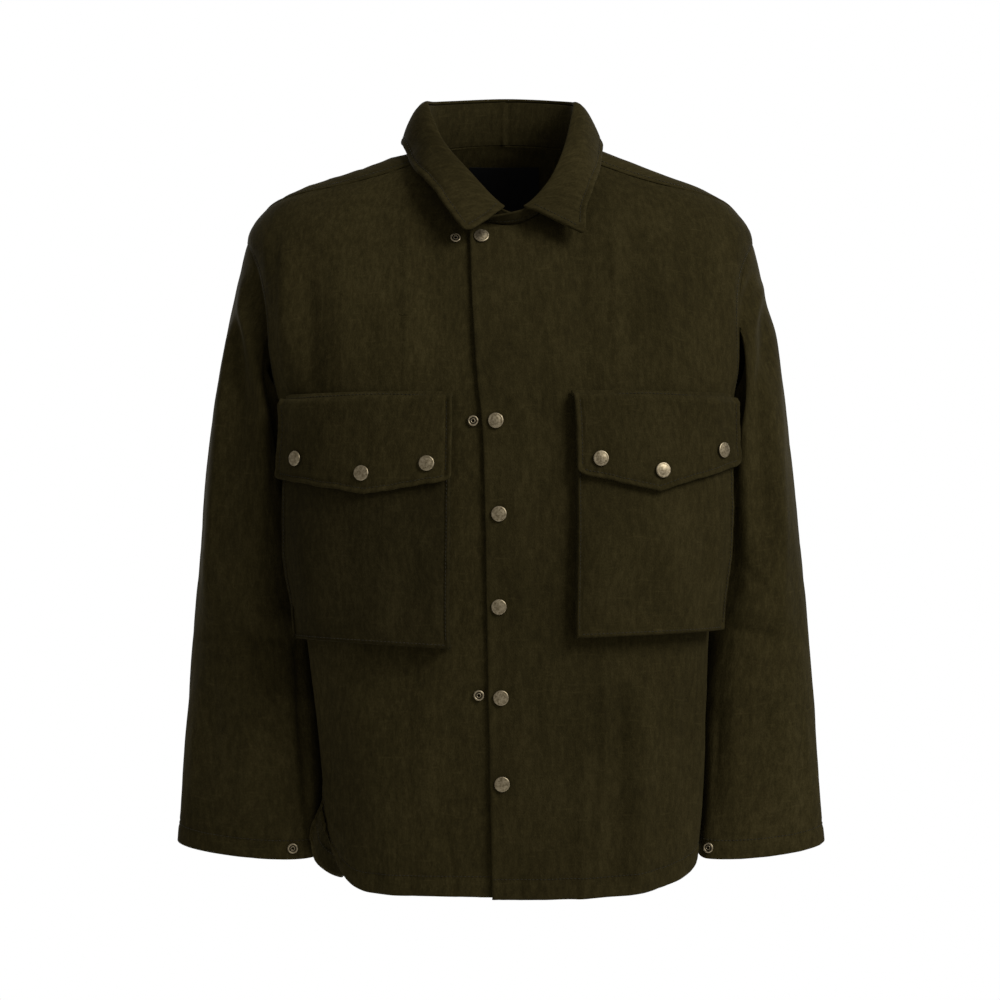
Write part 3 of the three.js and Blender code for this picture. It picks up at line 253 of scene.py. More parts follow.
# where the sleeves fall in beside the body
CREVICE_LINES = {
    -1: [([(255, 262, 4, 0), (260, 296, 7, -9), (265, 335, 9, -11), (268, 365, 9, -9.5), (273, 395, 7, -7), (279, 420, 6, -7),
           (283, 460, 5, -4), (288, 520, 4, 0)], 0.0),
         ([(297, 628, 4, 0), (299, 660, 5.5, -4.5), (302, 720, 5.5, -5.5), (306, 790, 5, -4.5), (308, 836, 4, 0)], 0.0)],
    1: [([(757, 262, 3, 0), (746, 296, 4, -3), (741, 340, 4.5, -5), (740, 390, 4, -3.5), (738, 430, 4, 0)], 0.0),
        ([(766, 322, 5, 0), (760, 344, 6, 2.0), (752, 372, 6, 2.2), (745, 402, 5, 0)], 0.0)],
}
SLEEVE_LINES = {
    -1: [
        # the two legs of the fold that starts below the drop of the shoulder, and the hollow between
        ([(239, 288, 3, 0), (244, 318, 5, 4.2), (251, 348, 6, 5.6), (258, 374, 7, 5.4), (263, 410, 8, 4.0),
          (264, 470, 9, 3.2), (259, 540, 9, 2.4), (252, 600, 8, 0)], -0.25),
        ([(237, 308, 2.5, 0), (239, 340, 5, -4.8), (240, 385, 8, -6.2), (238, 440, 10, -5.4), (233, 520, 10, -2.6),
          (230, 584, 9, 0)], 0.0),
        ([(236, 302, 3, 0), (230, 345, 3.6, 3.6), (224, 385, 4.6, 4.4), (220, 430, 5, 3.8), (213, 500, 6, 2.6),
          (203, 584, 6, 0)], 0.0),
        ([(222, 372, 2.6, 0), (215, 420, 3.4, 2.0), (206, 480, 4, 1.6), (199, 545, 4, 0)], 0.0),
        ([(247, 262, 3, 0), (243, 290, 4, 2.6), (240, 318, 3, 0)], 0.0),
        # the elbow
        ([(194, 641, 4, 0), (213, 637, 5, -3.0), (245, 637, 6, -4.0), (275, 640, 5, -2.4), (290, 642, 4, 0)], 0.0),
        ([(202, 620, 6, 0), (235, 616, 8, 2.8), (268, 620, 7, 1.8), (285, 626, 5, 0)], 0.0),
        ([(200, 660, 6, 0), (232, 657, 7, 2.0), (262, 659, 6, 0)], 0.0),
        ([(264, 552, 5, 0), (246, 584, 6, -2.4), (222, 602, 5, 0)], 0.0),
        ([(206, 560, 5, 0), (222, 576, 6, 1.8), (246, 600, 5, 0)], 0.0),
        # the forearm
        ([(246, 664, 9, 0), (247, 722, 12, 2.8), (244, 790, 11, 2.0), (240, 828, 9, 0.6)], 0.0),
        ([(214, 664, 7, 0), (212, 730, 8, -2.4), (206, 800, 7, -0.6), (204, 826, 5, 0)], 0.0),
        ([(276, 656, 6, 0), (278, 720, 7, -2.6), (284, 790, 6, -1.2), (288, 832, 5, 0)], 0.0),
        ([(196, 700, 4, 0), (193, 760, 5, 1.8), (188, 820, 4, 0)], 0.0),
        ([(230, 812, 4, 0), (229, 832, 4, -1.2), (229, 850, 4, -0.8)], 0.0),
        ([(262, 806, 4, 0), (264, 830, 4, -1.2), (265, 850, 4, -0.8)], 0.0),
    ],
    1: [
        ([(766, 292, 3, 0), (773, 340, 5, 4.2), (777, 400, 6, 4.8), (783, 500, 7, 3.4), (789, 584, 7, 0)], -0.2),
        ([(765, 276, 3, 0), (759, 300, 4, 3.2), (752, 332, 4.6, 3.0), (747, 374, 4, 0)], 0.0),
        ([(763, 306, 3, 0), (763, 350, 6, -4.4), (761, 420, 8, -4.8), (764, 500, 9, -3.2), (768, 574, 9, 0)], 0.0),
        ([(791, 336, 4, 0), (796, 420, 6, -2.8), (801, 520, 6, -2.2), (806, 604, 5, 0)], 0.0),
        ([(745, 400, 6, 0), (744, 460, 7, 2.8), (747, 540, 7, 2.2), (752, 600, 6, 0)], 0.0),
        ([(706, 634, 4, 0), (735, 630, 5, -2.8), (765, 635, 6, -3.4), (792, 641, 5, -2.0), (806, 645, 4, 0)], 0.0),
        ([(716, 612, 6, 0), (748, 610, 8, 2.4), (780, 616, 7, 2.0), (798, 622, 5, 0)], 0.0),
        ([(738, 655, 6, 0), (766, 657, 7, 1.8), (794, 662, 6, 0)], 0.0),
        ([(738, 556, 5, 0), (758, 584, 6, -2.2), (784, 600, 5, 0)], 0.0),
        ([(786, 672, 8, 0), (790, 740, 10, 2.8), (791, 800, 9, 1.8), (790, 832, 7, 0.5)], 0.0),
        ([(762, 664, 8, 0), (764, 730, 9, -2.8), (760, 800, 8, -1.2), (758, 834, 6, 0)], 0.0),
        ([(738, 664, 7, 0), (736, 730, 9, 2.2), (730, 800, 8, 1.2), (728, 832, 6, 0)], 0.0),
        ([(722, 660, 5, 0), (717, 740, 5, -1.6), (711, 820, 4, 0)], 0.0),
        ([(804, 700, 4, 0), (808, 760, 5, 1.6), (812, 820, 4, 0)], 0.0),
        ([(744, 808, 4, 0), (743, 830, 4, -1.2), (742, 852, 4, -0.8)], 0.0),
        ([(775, 806, 4, 0), (776, 828, 4, -1.2), (777, 848, 4, -0.8)], 0.0),
    ],
}
# The same for the back, seen from the front through the garment.
BACK_LINES = [
    ([(330, 282, 12, 0), (326, 380, 14, 3.0), (322, 520, 14, 3.6), (318, 680, 13, 2.4), (316, 800, 10, 0)], 0.0),
    ([(362, 300, 9, 0), (360, 420, 11, -3.2), (356, 560, 12, -3.2), (352, 720, 11, -1.6), (350, 830, 9, 0)], 0.0),
    ([(402, 262, 10, 0), (398, 400, 12, 2.2), (396, 600, 13, 2.8), (394, 800, 12, 1.2), (393, 892, 9, 0.4)], 0.0),
    ([(455, 420, 12, 0), (452, 560, 15, -2.4), (450, 720, 15, -2.6), (448, 880, 12, -1.0)], 0.0),
    ([(505, 330, 10, 0), (508, 480, 12, 2.2), (510, 650, 13, 2.6), (512, 850, 12, 1.4), (512, 895, 10, 0.6)], 0.0),
    ([(560, 300, 12, 0), (556, 460, 14, -2.4), (552, 640, 14, -2.8), (550, 830, 12, -1.0)], 0.0),
    ([(612, 262, 10, 0), (610, 400, 12, 2.8), (614, 560, 13, 3.2), (618, 760, 12, 1.6), (620, 868, 9, 0)], 0.0),
    ([(650, 320, 9, 0), (654, 460, 11, -3.2), (658, 620, 11, -2.8), (660, 790, 9, 0)], 0.0),
    ([(684, 300, 9, 0), (688, 420, 11, 3.0), (690, 560, 12, 2.8), (692, 710, 10, 0)], 0.0),
    ([(284, 246, 5, 0), (318, 282, 8, -2.4), (362, 334, 8, 0)], 0.0),
    ([(300, 238, 5, 0), (338, 268, 8, 1.8), (384, 312, 8, 0)], 0.0),
    ([(722, 246, 5, 0), (688, 286, 8, -2.4), (648, 338, 8, 0)], 0.0),
    ([(706, 236, 5, 0), (668, 270, 8, 1.8), (622, 318, 8, 0)], 0.0),
    ([(426, 176, 6, 0), (500, 188, 8, -1.2), (578, 178, 6, 0)], 0.0),
    ([(380, 196, 6, 0), (386, 240, 8, 1.4), (392, 300, 8, 0)], 0.0),
    ([(640, 194, 6, 0), (634, 244, 8, 1.4), (628, 304, 8, 0)], 0.0),
    ([(420, 862, 3, 0), (421, 880, 3.4, -1.2), (421, 898, 3, -0.8)], 0.0),
    ([(477, 864, 3, 0), (478, 882, 3.4, -1.2), (479, 900, 3, -0.8)], 0.0),
    ([(583, 862, 3, 0), (584, 880, 3.4, -1.2), (585, 898, 3, -0.8)], 0.0),
    ([(645, 856, 3, 0), (646, 872, 3.4, -1.2), (648, 888, 3, -0.8)], 0.0),
]
SLEEVE_BACK_LINES = [
    # x is measured from 500 outwards, as for the right sleeve
    ([(234, 236, 6, 0), (226, 320, 7, 3.4), (217, 430, 8, 4.2), (208, 540, 8, 2.2), (204, 604, 6, 0)], 0.0),
    ([(254, 262, 5, 0), (247, 370, 8, -4.4), (238, 480, 9, -4.2), (230, 584, 7, 0)], 0.0),
    ([(272, 290, 5, 0), (268, 420, 8, 3.2), (259, 540, 8, 2.8), (250, 612, 6, 0)], 0.0),
    ([(196, 612, 5, 0), (222, 630, 6, -3.8), (255, 641, 6, -3.4), (287, 638, 4, 0)], 0.0),
    ([(200, 588, 6, 0), (235, 604, 7, 3.2), (270, 614, 6, 2.2), (290, 614, 4, 0)], 0.0),
    ([(204, 640, 5, 0), (232, 656, 6, 2.4), (264, 664, 5, 0)], 0.0),
    ([(276, 560, 5, 0), (252, 592, 6, -2.4), (224, 606, 5, 0)], 0.0),
    ([(238, 676, 8, 0), (236, 740, 10, 3.0), (230, 812, 9, 1.4), (229, 834, 7, 0.4)], 0.0),
    ([(210, 676, 6, 0), (207, 740, 7, -2.6), (200, 812, 6, 0)], 0.0),
    ([(268, 670, 6, 0), (270, 740, 8, -2.8), (272, 812, 7, -0.8)], 0.0),
]


def fold_lines(x, y, lines):
    height = np.zeros_like(x)
    for points, steep in lines:
        nearest = np.full(x.shape, 1e9)
        wide = np.ones_like(x)
        high = np.zeros_like(x)
        side = np.ones_like(x)
        reach = max(p[2] for p in points) * 4
        xs, ys = [p[0] for p in points], [p[1] for p in points]
        close = (x > min(xs) - reach) & (x < max(xs) + reach) & (y > min(ys) - reach) & (y < max(ys) + reach)
        if not close.any():
            continue
        for a, b in zip(points[:-1], points[1:]):
            dx, dy = b[0] - a[0], b[1] - a[1]
            t = np.clip(((x - a[0]) * dx + (y - a[1]) * dy) / (dx * dx + dy * dy), 0, 1)
            away = np.hypot(x - a[0] - t * dx, y - a[1] - t * dy)
            new = away < nearest
            nearest = np.where(new, away, nearest)
            wide = np.where(new, mix(a[2], b[2], t), wide)
            high = np.where(new, mix(a[3], b[3], smooth(t)), high)
            side = np.where(new, np.sign((x - a[0]) * dy - (y - a[1]) * dx), side)
        height += high * np.exp(-((nearest / (wide * (1 + steep * side))) ** 2))
    return height


def seen(p):
    """Where a point shows, in the units of the fold lines."""
    k = 2600.0 / (2600.0 + p[..., 1])
    return 500 + p[..., 0] * k, 500 - (p[..., 2] + 362) * k


def through(p):
    return 500 + p[..., 0], 138 - p[..., 2]


def ripple(u, v, size_u, size_v, seed, octaves=2):
    """Smooth seeded unevenness of about +-1, with cells of size_u by size_v mm."""
    total = np.zeros(np.broadcast(u, v).shape)
    gain, norm = 1.0, 0.0
    for k in range(octaves):
        rng = np.random.RandomState(seed + 17 * k)
        table = rng.rand(97, 89) * 2 - 1
        a, b = np.asarray(u) / size_u * 2 ** k + 31.7, np.asarray(v) / size_v * 2 ** k + 17.3
        i, j = np.floor(a).astype(int), np.floor(b).astype(int)
        s, t = smooth(a - i), smooth(b - j)
        i0, i1, j0, j1 = i % 97, (i + 1) % 97, j % 89, (j + 1) % 89
        total += gain * mix(mix(table[i0, j0], table[i1, j0], s), mix(table[i0, j1], table[i1, j1], s), t)
        norm += gain
        gain *= 0.5
    return total / norm


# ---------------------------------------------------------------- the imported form, as functions
def normal_of(surface, a, b, da, db, flip=1):
    return unit(np.cross(surface(a + da, b) - surface(a - da, b), surface(a, b + db) - surface(a, b - db))) * flip


def body_shape(turn, level):
    turn, level = np.broadcast_arrays(np.asarray(turn, float), np.asarray(level, float))
    c, s = np.cos(turn * DEG), np.sin(turn * DEG)
    front = c >= 0
    reach = np.where(front, BODY("frontY", level), BODY("backY", level))
    half, n = BODY("halfWidth", level), BODY("corner", level)
    r = ((np.abs(s) / half) ** n + (np.abs(c) / reach) ** n) ** (-1 / n)
    y = -r * c
    to_end = (np.abs(y) / reach) ** n
    z = mix(BODY("sideZ", level), np.where(front, BODY("frontZ", level), BODY("backZ", level)), to_end)
    press = BODY("hollow", level) * np.exp(-(((y - ARM_Y) / ARM_REACH) ** 4))
    return np.stack([r * s - np.sign(s) * press + BODY("shiftX", level), y, z], -1)


def fold_height(folds, angle, along):
    height = 0.0
    for f_angle, lean, width, depth, low, high in folds:
        away = angle - f_angle - lean * (along - (low + high) / 2)
        turn = away - 360 * np.round(away / 360)
        reach = smooth((along - low) / (0.3 * (high - low))) * smooth((high - along) / (0.3 * (high - low)))
        height = height + depth * reach * np.exp(-((turn / width) ** 2))
    return height


def body_point(turn, level):
    out = normal_of(body_shape, turn, level, 0.2, 0.004)
    return body_shape(turn, level) + out * np.asarray(fold_height(BODY_FOLDS, turn, level))[..., None]


def body_normal(turn, level):
    return normal_of(body_point, turn, level, 0.4, 0.006)


def body_out(turn, level, off):
    return body_point(turn, level) + body_normal(turn, level) * np.asarray(off, float)[..., None]


def halve(low, high, below, steps=34):
    """The value between low and high where below(value) turns from true to false."""
    for _ in range(steps):
        middle = (low + high) / 2
        up = below(middle)
        low, high = np.where(up, middle, low), np.where(up, high, middle)
    return (low + high) / 2


def level_at(turn, z):
    turn, z = np.broadcast_arrays(np.asarray(turn, float), np.asarray(z, float))
    return halve(np.full(z.shape, -0.2), np.full(z.shape, 2.0), lambda m: body_shape(turn, m)[..., 2] < z)


def turn_at_x(x, level):
    x, level = np.broadcast_arrays(np.asarray(x, float), np.asarray(level, float))
    return halve(np.full(x.shape, -60.0), np.full(x.shape, 60.0), lambda m: body_shape(m, level)[..., 0] < x)


def on_front(x, z):
    turn = turn_at_x(x, 1.0)
    for _ in range(12):
        turn = turn_at_x(x, level_at(turn, z))
    return turn, level_at(turn, z)


def spread(level, start, stop, parts):
    """For each row, the angles that cut it at the same parts of its length, and its length."""
    steps = np.linspace(0, 1, 161)
    angle = start[:, None] + (stop - start)[:, None] * steps
    p = body_shape(angle, level[:, None])
    run = np.concatenate([np.zeros((len(level), 1)), np.cumsum(np.linalg.norm(np.diff(p, axis=1), axis=-1), axis=1)], 1)
    out = np.stack([np.interp(parts * run[i, -1], run[i], angle[i]) for i in range(len(level))])
    return out, run[:, -1]


def hole_width(level):
    t = (level - (HOLE_LOW + HOLE_HIGH) / 2) / ((HOLE_HIGH - HOLE_LOW) / 2)
    return np.sqrt(np.maximum(0, 1 - t * t))


def side_edge(level, side, is_back):
    sign = 1 if is_back else -1
    gap = (GAP / 2 + 0.1) / (BODY("halfWidth", level) * DEG)
    seam = BODY("seamLeft" if side > 0 else "seamRight", level) + sign * gap
    vent = seam + sign * VENT_OPEN * smooth((VENT_TOP - level) / VENT_TOP)
    return np.where(level < VENT_TOP, vent, seam + sign * hole_width(level) * (HOLE_BACK if is_back else HOLE_FRONT))


def hem_level(from_edge, rounding):
    part = np.clip(1 - from_edge / rounding[0], 0, 1)
    return rounding[1] * (1 - np.sqrt(1 - part * part)) / 450


def on_hem(level, hem):
    return np.where(level < 0.2, hem + (level / 0.2) * (0.2 - hem), level)


def lap_out(x):
    return LAP * smooth((LAP_TO - x) / (LAP_TO - LAP_FROM))


def body_reach(side, y, z):
    reach = lambda level: np.where(y < 0, BODY("frontY", level), BODY("backY", level))
    to_end = lambda level: np.minimum(1, (np.abs(y) / reach(level)) ** BODY("corner", level))

    def below(m):
        end = np.where(y < 0, BODY("frontZ", m), BODY("backZ", m))
        return mix(BODY("sideZ", m), end, to_end(m)) < z

    level = halve(np.full(y.shape, -0.1), np.full(y.shape, HOLE_HIGH), below, 26)
    n = BODY("corner", level)
    out = BODY("halfWidth", level) * np.maximum(0, 1 - to_end(level)) ** (1 / n)
    press = BODY("hollow", level) * np.exp(-(((y - ARM_Y) / ARM_REACH) ** 4))
    return out - press + side * BODY("shiftX", level)


def armhole_point(side, angle):
    c, s = np.cos(angle * DEG), np.sin(angle * DEG)
    width = np.where(s > 0, HOLE_FRONT, HOLE_BACK)
    middle, half = (HOLE_LOW + HOLE_HIGH) / 2, (HOLE_HIGH - HOLE_LOW) / 2
    turn, level = side * (90 - width * s), middle + half * c
    edge = body_point(turn, level)
    into = unit(body_point(side * (90 - width * s * 0.9), middle + half * c * 0.9) - edge)
    return edge + into * 0.8 + body_normal(turn, level) * (0.3 + 0.9 * (1 - c))[..., None]


def sleeve_ring(side, angle, s):
    angle, s = np.broadcast_arrays(np.asarray(angle, float), np.asarray(s, float))
    c, f = np.cos(angle * DEG), np.sin(angle * DEG)
    out_x, out_z, in_z = SLEEVE("outX", s), SLEEVE("outZ", s), SLEEVE("inZ", s)
    out_x = out_x + side * OUT_SHIFT * smooth(s / 0.4)
    hang = HANG_BY * np.exp(-(((s - HANG_AT) / HANG_REACH) ** 2)) if side < 0 else 0.0
    in_x = SLEEVE("inX", s) + side * SIDE_SHIFT * smooth(s / 0.5) - hang
    fore, aft = SLEEVE("foreY", s), SLEEVE("aftY", s)
    return np.stack([
        side * ((out_x + in_x) / 2 + c * (out_x - in_x) / 2),
        (fore + aft) / 2 + c * SLEEVE("skew", s) - f * (aft - fore) / 2,
        (out_z + in_z) / 2 + c * (out_z - in_z) / 2 - f * SLEEVE("dip", s),
    ], -1)


def sleeve_shape(side, angle, s):
    angle, s = np.broadcast_arrays(np.asarray(angle, float), np.asarray(s, float))
    start = armhole_point(side, angle) - sleeve_ring(side, angle, np.zeros_like(s))
    p = sleeve_ring(side, angle, s) + start * (1 - smooth(s / 0.28))[..., None]
    clear = mix(0.6, 3.2, smooth(s / 0.12))
    limit = body_reach(side, p[..., 1], p[..., 2]) + clear
    x, soft = side * p[..., 0], 5 * smooth(s / 0.1) + 0.01
    away = (x - limit) / soft
    laid = limit + soft * np.log1p(np.exp(np.clip(away, -30, 30)))
    p[..., 0] = side * np.where(away > 30, x, laid)
    return p


def sleeve_point(side, angle, s):
    base = sleeve_shape(side, angle, s)
    out = normal_of(lambda a, b: sleeve_shape(side, a, b), angle, s, 1.5, 0.004, side)
    height = fold_height(SLEEVE_FOLDS[side], angle, s)
    for f_s, width, depth, f_angle, reach in ELBOW_FOLDS:
        turn = angle - f_angle - 360 * np.round((angle - f_angle) / 360)
        height = height + depth * np.exp(-(((s - f_s) / width) ** 2)) * np.exp(-((turn / reach) ** 4))
    free = smooth((side * base[..., 0] - body_reach(side, base[..., 1], base[..., 2]) - 4) / 10)
    return base + out * (height * free)[..., None], free


def stand_point(turn, up):
    turn, up = np.broadcast_arrays(np.asarray(turn, float), np.asarray(up, float))
    seam = body_point(turn, 2.0)
    rise = unit(seam - body_point(turn, 1.99))
    foot = seam + rise * 0.7 + body_normal(turn, 2.0) * STAND("layer", turn)[..., None]
    top = np.stack([STAND(n, turn) for n in ("topX", "topY", "topZ")], -1)
    p = mix(foot, top, up[..., None])
    away = np.stack([np.sin(turn * DEG), -np.cos(turn * DEG), np.zeros_like(turn)], -1)
    bulge = -3 * np.sin(up * math.pi) * smooth((turn - 20) / 60) * smooth((340 - turn) / 60)
    return p + away * bulge[..., None]


def leaf_point(turn, down):
    turn, down = np.broadcast_arrays(np.asarray(turn, float), np.asarray(down, float))
    top = np.stack([STAND(n, turn) for n in ("topX", "topY", "topZ")], -1)
    edge = np.stack([LEAF(n, turn) for n in ("edgeX", "edgeY", "edgeZ")], -1)
    bow = LEAF("bow", turn)[..., None]
    n = normal_of(stand_point, turn, np.ones_like(turn), 1, 0.02)
    rise = unit(np.cross(stand_point(turn + 1, 1.0) - stand_point(turn - 1, 1.0), n))
    rise = rise * np.where(rise[..., 2:] < 0, -1, 1)
    start = top + rise * (1.2 + DOUBLE) - n * BAND
    crest = start + n * (BAND + 6 + bow * 0.3) + rise * 0.5
    side = mix(start, edge, 0.42) + n * (4 + bow * 0.6)
    d = down[..., None]
    a = 1 - d
    return start * a ** 3 + crest * 3 * a * a * d + side * 3 * a * d * d + edge * d ** 3


def pocket_depth(pocket, across, down):
    return mix(pocket["mouth"], pocket["foot"], smooth(down)) * mix(0.72, 1.05, across)


def under_lap(turn, level):
    return lap_out(body_shape(turn, level)[..., 0]) * (turn > 0)


def pocket_frame(pocket, across, down):
    """Where a pocket lies on the front: the point of the cloth under it and its outward normal."""
    foot = mix(pocket["innerFootZ"], pocket["outerFootZ"], across)
    turn = pocket["side"] * mix(pocket["inner"], pocket["outer"], across)
    level = level_at(turn, mix(pocket["topZ"], foot, down))
    n = body_normal(turn, level)
    return body_point(turn, level) + n * under_lap(turn, level)[..., None], n


def flap_shape(name, across, down):
    flap, pocket = FLAPS[name], POCKETS[name]
    across, down = np.broadcast_arrays(np.asarray(across, float), np.asarray(down, float))
    turn = flap["side"] * mix(flap["inner"], mix(flap["outerTop"], flap["outer"], down), across)
    foot = np.where(across < 0.5, mix(flap["innerZ"], flap["pointZ"], across / 0.5),
                    mix(flap["pointZ"], flap["outerZ"], (across - 0.5) / 0.5))
    z = mix(flap["topZ"], foot, down)
    level = level_at(turn, z)
    on_pocket = smooth((flap["topZ"] - z) / 9)
    depth = pocket_depth(pocket, across, np.clip((pocket["topZ"] - z) / 225, 0, 1))
    off = under_lap(turn, level) + DOUBLE + 0.8 + on_pocket * (depth + CLOTH + 1.2) + 1.5 * smooth(down)
    return body_out(turn, level, off)


# ---------------------------------------------------------------- shells
def steps_from(length, spacing, edge=(0.0, 0.18, 0.5, 1.0, 1.9)):
    """Parts of a length with extra lines at both ends, so that a thin edge can be round."""
    ends = np.array(edge)
    count = max(2, int(round((length - 2 * ends[-1]) / spacing)))
    inside = np.linspace(ends[-1], length - ends[-1], count + 1)
    return np.concatenate([ends[:-1], inside, length - ends[:-1][::-1]]) / length


def along(p, axis, wrap=False):
    """How far each point of a grid is along its line."""
    step = np.linalg.norm(np.diff(p, axis=axis), axis=-1)
    run = np.cumsum(step, axis=axis)
    zero = np.zeros_like(np.take(run, [0], axis=axis))
    return np.concatenate([zero, run], axis=axis)


def grid_normals(p, wrap=False, flip=1):
    """The normals of a grid of points; rows run along axis 0, and wrap closes axis 1."""
    if wrap:
        du = np.roll(p, -1, axis=1) - np.roll(p, 1, axis=1)
    else:
        du = np.empty_like(p)
        du[:, 1:-1] = p[:, 2:] - p[:, :-2]
        du[:, 0], du[:, -1] = p[:, 1] - p[:, 0], p[:, -1] - p[:, -2]
    dv = np.empty_like(p)
    dv[1:-1] = p[2:] - p[:-2]
    dv[0], dv[-1] = p[1] - p[0], p[-1] - p[-2]
    return unit(np.cross(du, dv)) * flip


def cut_of(base, from_column=0):
    """Where a panel's points lie on its flat cloth: across from a column, and up from the hem."""
    flat = base * np.array([1.0, 1.0, 0.0])
    wide = along(flat, 1)
    wide = wide - wide[:, [from_column]]
    upright = base * np.array([0.0, 1.0, 1.0])
    return wide, along(upright, 0) + base[:1, :, 2]


def pinch(distance, thick):
    """The share of a wall's thickness that is left near a rounded edge."""
    r = thick / 2
    t = np.clip(1 - distance / r, 0, 1)
    return np.maximum(np.sqrt(1 - t * t), 0.12)


def round_corner(base, columns, rows, radius, last_column=False, last_row=True):
    """Rounds one corner of a grid. columns and rows are the distances from its two edges."""
    across, down = np.gradient(base, axis=1), np.gradient(base, axis=0)
    inward = unit(across) * (-1 if last_column else 1)
    upward = unit(down) * (-1 if last_row else 1)
    x, y = np.clip(1 - columns / radius, 0, 1), np.clip(1 - rows / radius, 0, 1)
    x2, y2 = x * np.sqrt(1 - y * y / 2), y * np.sqrt(1 - x * x / 2)
    return base + inward * (radius * (x - x2))[..., None] + upward * (radius * (y - y2))[..., None]


def wavy_edge(base, distance, wave, by, last_row=True):
    """Lets an edge run a little unevenly within the cloth."""
    upward = unit(np.gradient(base, axis=0)) * (-1 if last_row else 1)
    return base + upward * (by * wave * np.exp(-((distance / 9.0) ** 2)))[..., None]


class Shell:
    """A closed wall between two grids, and a way to find points on its outer face."""

    def __init__(self, name, outer, inner, wrap=False, normals=None, cut=None):
        """cut is where each point lies on the flat cloth, in mm, with one column more if it wraps."""
        self.name, self.outer, self.inner, self.wrap, self.cut = name, outer, inner, wrap, cut
        self.normals = grid_normals(outer, wrap) if normals is None else normals
        if np.mean(np.sum((outer - inner) * self.normals, -1)) < 0:
            self.normals = -self.normals

    def at(self, row, column, inside=False):
        """Points and normals at fractional rows and columns."""
        rows, cols = self.outer.shape[:2]
        row = np.clip(np.asarray(row, float), 0, rows - 1.0001)
        column = np.asarray(column, float)
        if self.wrap:
            column = column % cols
        else:
            column = np.clip(column, 0, cols - 1.0001)
        i, j = row.astype(int), column.astype(int)
        s, t = (row - i)[..., None], (column - j)[..., None]
        i1, j1 = np.minimum(i + 1, rows - 1), (j + 1) % cols
        grid = self.inner if inside else self.outer
        point = mix(mix(grid[i, j], grid[i1, j], s), mix(grid[i, j1], grid[i1, j1], s), t)
        normal = mix(mix(self.normals[i, j], self.normals[i1, j], s), mix(self.normals[i, j1], self.normals[i1, j1], s), t)
        return point, unit(normal) * (-1 if inside else 1)

    def area(self):
        p = self.outer
        if self.wrap:
            p = np.concatenate([p, p[:, :1]], 1)
        a, b = p[1:, 1:] - p[:-1, :-1], p[1:, :-1] - p[:-1, 1:]
        return 0.5 * np.linalg.norm(np.cross(a, b), axis=-1).sum()

    def mesh(self, materials):
        rows, cols = self.outer.shape[:2]
        verts = np.concatenate([self.outer.reshape(-1, 3), self.inner.reshape(-1, 3)]) * MM
        layer = rows * cols
        across = cols if self.wrap else cols - 1
        r, c = np.meshgrid(np.arange(rows - 1), np.arange(across), indexing="ij")
        r, c = r.ravel(), c.ravel()
        c1 = (c + 1) % cols
        a, b, d, e = r * cols + c, r * cols + c1, (r + 1) * cols + c1, (r + 1) * cols + c
        faces = [np.stack([a, b, d, e], 1), np.stack([a, e, d, b], 1) + layer]
        if self.cut is None:
            wide, tall = along(self.outer, 1), along(self.outer, 0)
            wide = wide - wide[:, -1:] / 2
        else:
            wide, tall = self.cut
        uv_of = lambda rr, cc: np.stack([wide[rr, cc], tall[rr, cc]], -1) * MM
        q = uv_of(np.stack([r, r, r + 1, r + 1], 1), np.stack([c, c + 1, c + 1, c], 1))
        q2 = uv_of(np.stack([r, r + 1, r + 1, r], 1), np.stack([c, c, c + 1, c + 1], 1))
        uvs = [q, q2]
        k = np.arange(across)
        k1 = (k + 1) % cols
        top = (rows - 1) * cols
        faces.append(np.stack([k1, k, k + layer, k1 + layer], 1))
        uvs.append(uv_of(np.zeros((across, 4), int), np.stack([k + 1, k, k, k + 1], 1)))
        faces.append(np.stack([top + k, top + k1, top + k1 + layer, top + k + layer], 1))
        uvs.append(uv_of(np.full((across, 4), rows - 1), np.stack([k, k + 1, k + 1, k], 1)))
        if not self.wrap:
            m = np.arange(rows - 1)
            last = cols - 1
            faces.append(np.stack([m * cols, (m + 1) * cols, (m + 1) * cols + layer, m * cols + layer], 1))
            uvs.append(uv_of(np.stack([m, m + 1, m + 1, m], 1), np.zeros((rows - 1, 4), int)))
            faces.append(np.stack([(m + 1) * cols + last, m * cols + last, m * cols + last + layer, (m + 1) * cols + last + layer], 1))
            uvs.append(uv_of(np.stack([m + 1, m, m, m + 1], 1), np.full((rows - 1, 4), last)))
        faces, uvs = np.concatenate(faces), np.concatenate(uvs)
        # outward faces: the outer grid must turn with its own normals
        p = self.outer
        mid_r, mid_c = rows // 2, cols // 2
        turn = np.cross(p[mid_r, (mid_c + 1) % cols] - p[mid_r, mid_c], p[mid_r + 1, mid_c] - p[mid_r, mid_c])
        if np.dot(turn, self.normals[mid_r, mid_c]) < 0:
            faces, uvs = faces[:, ::-1], uvs[:, ::-1]
        return new_mesh(self.name, verts, faces, uvs, materials)


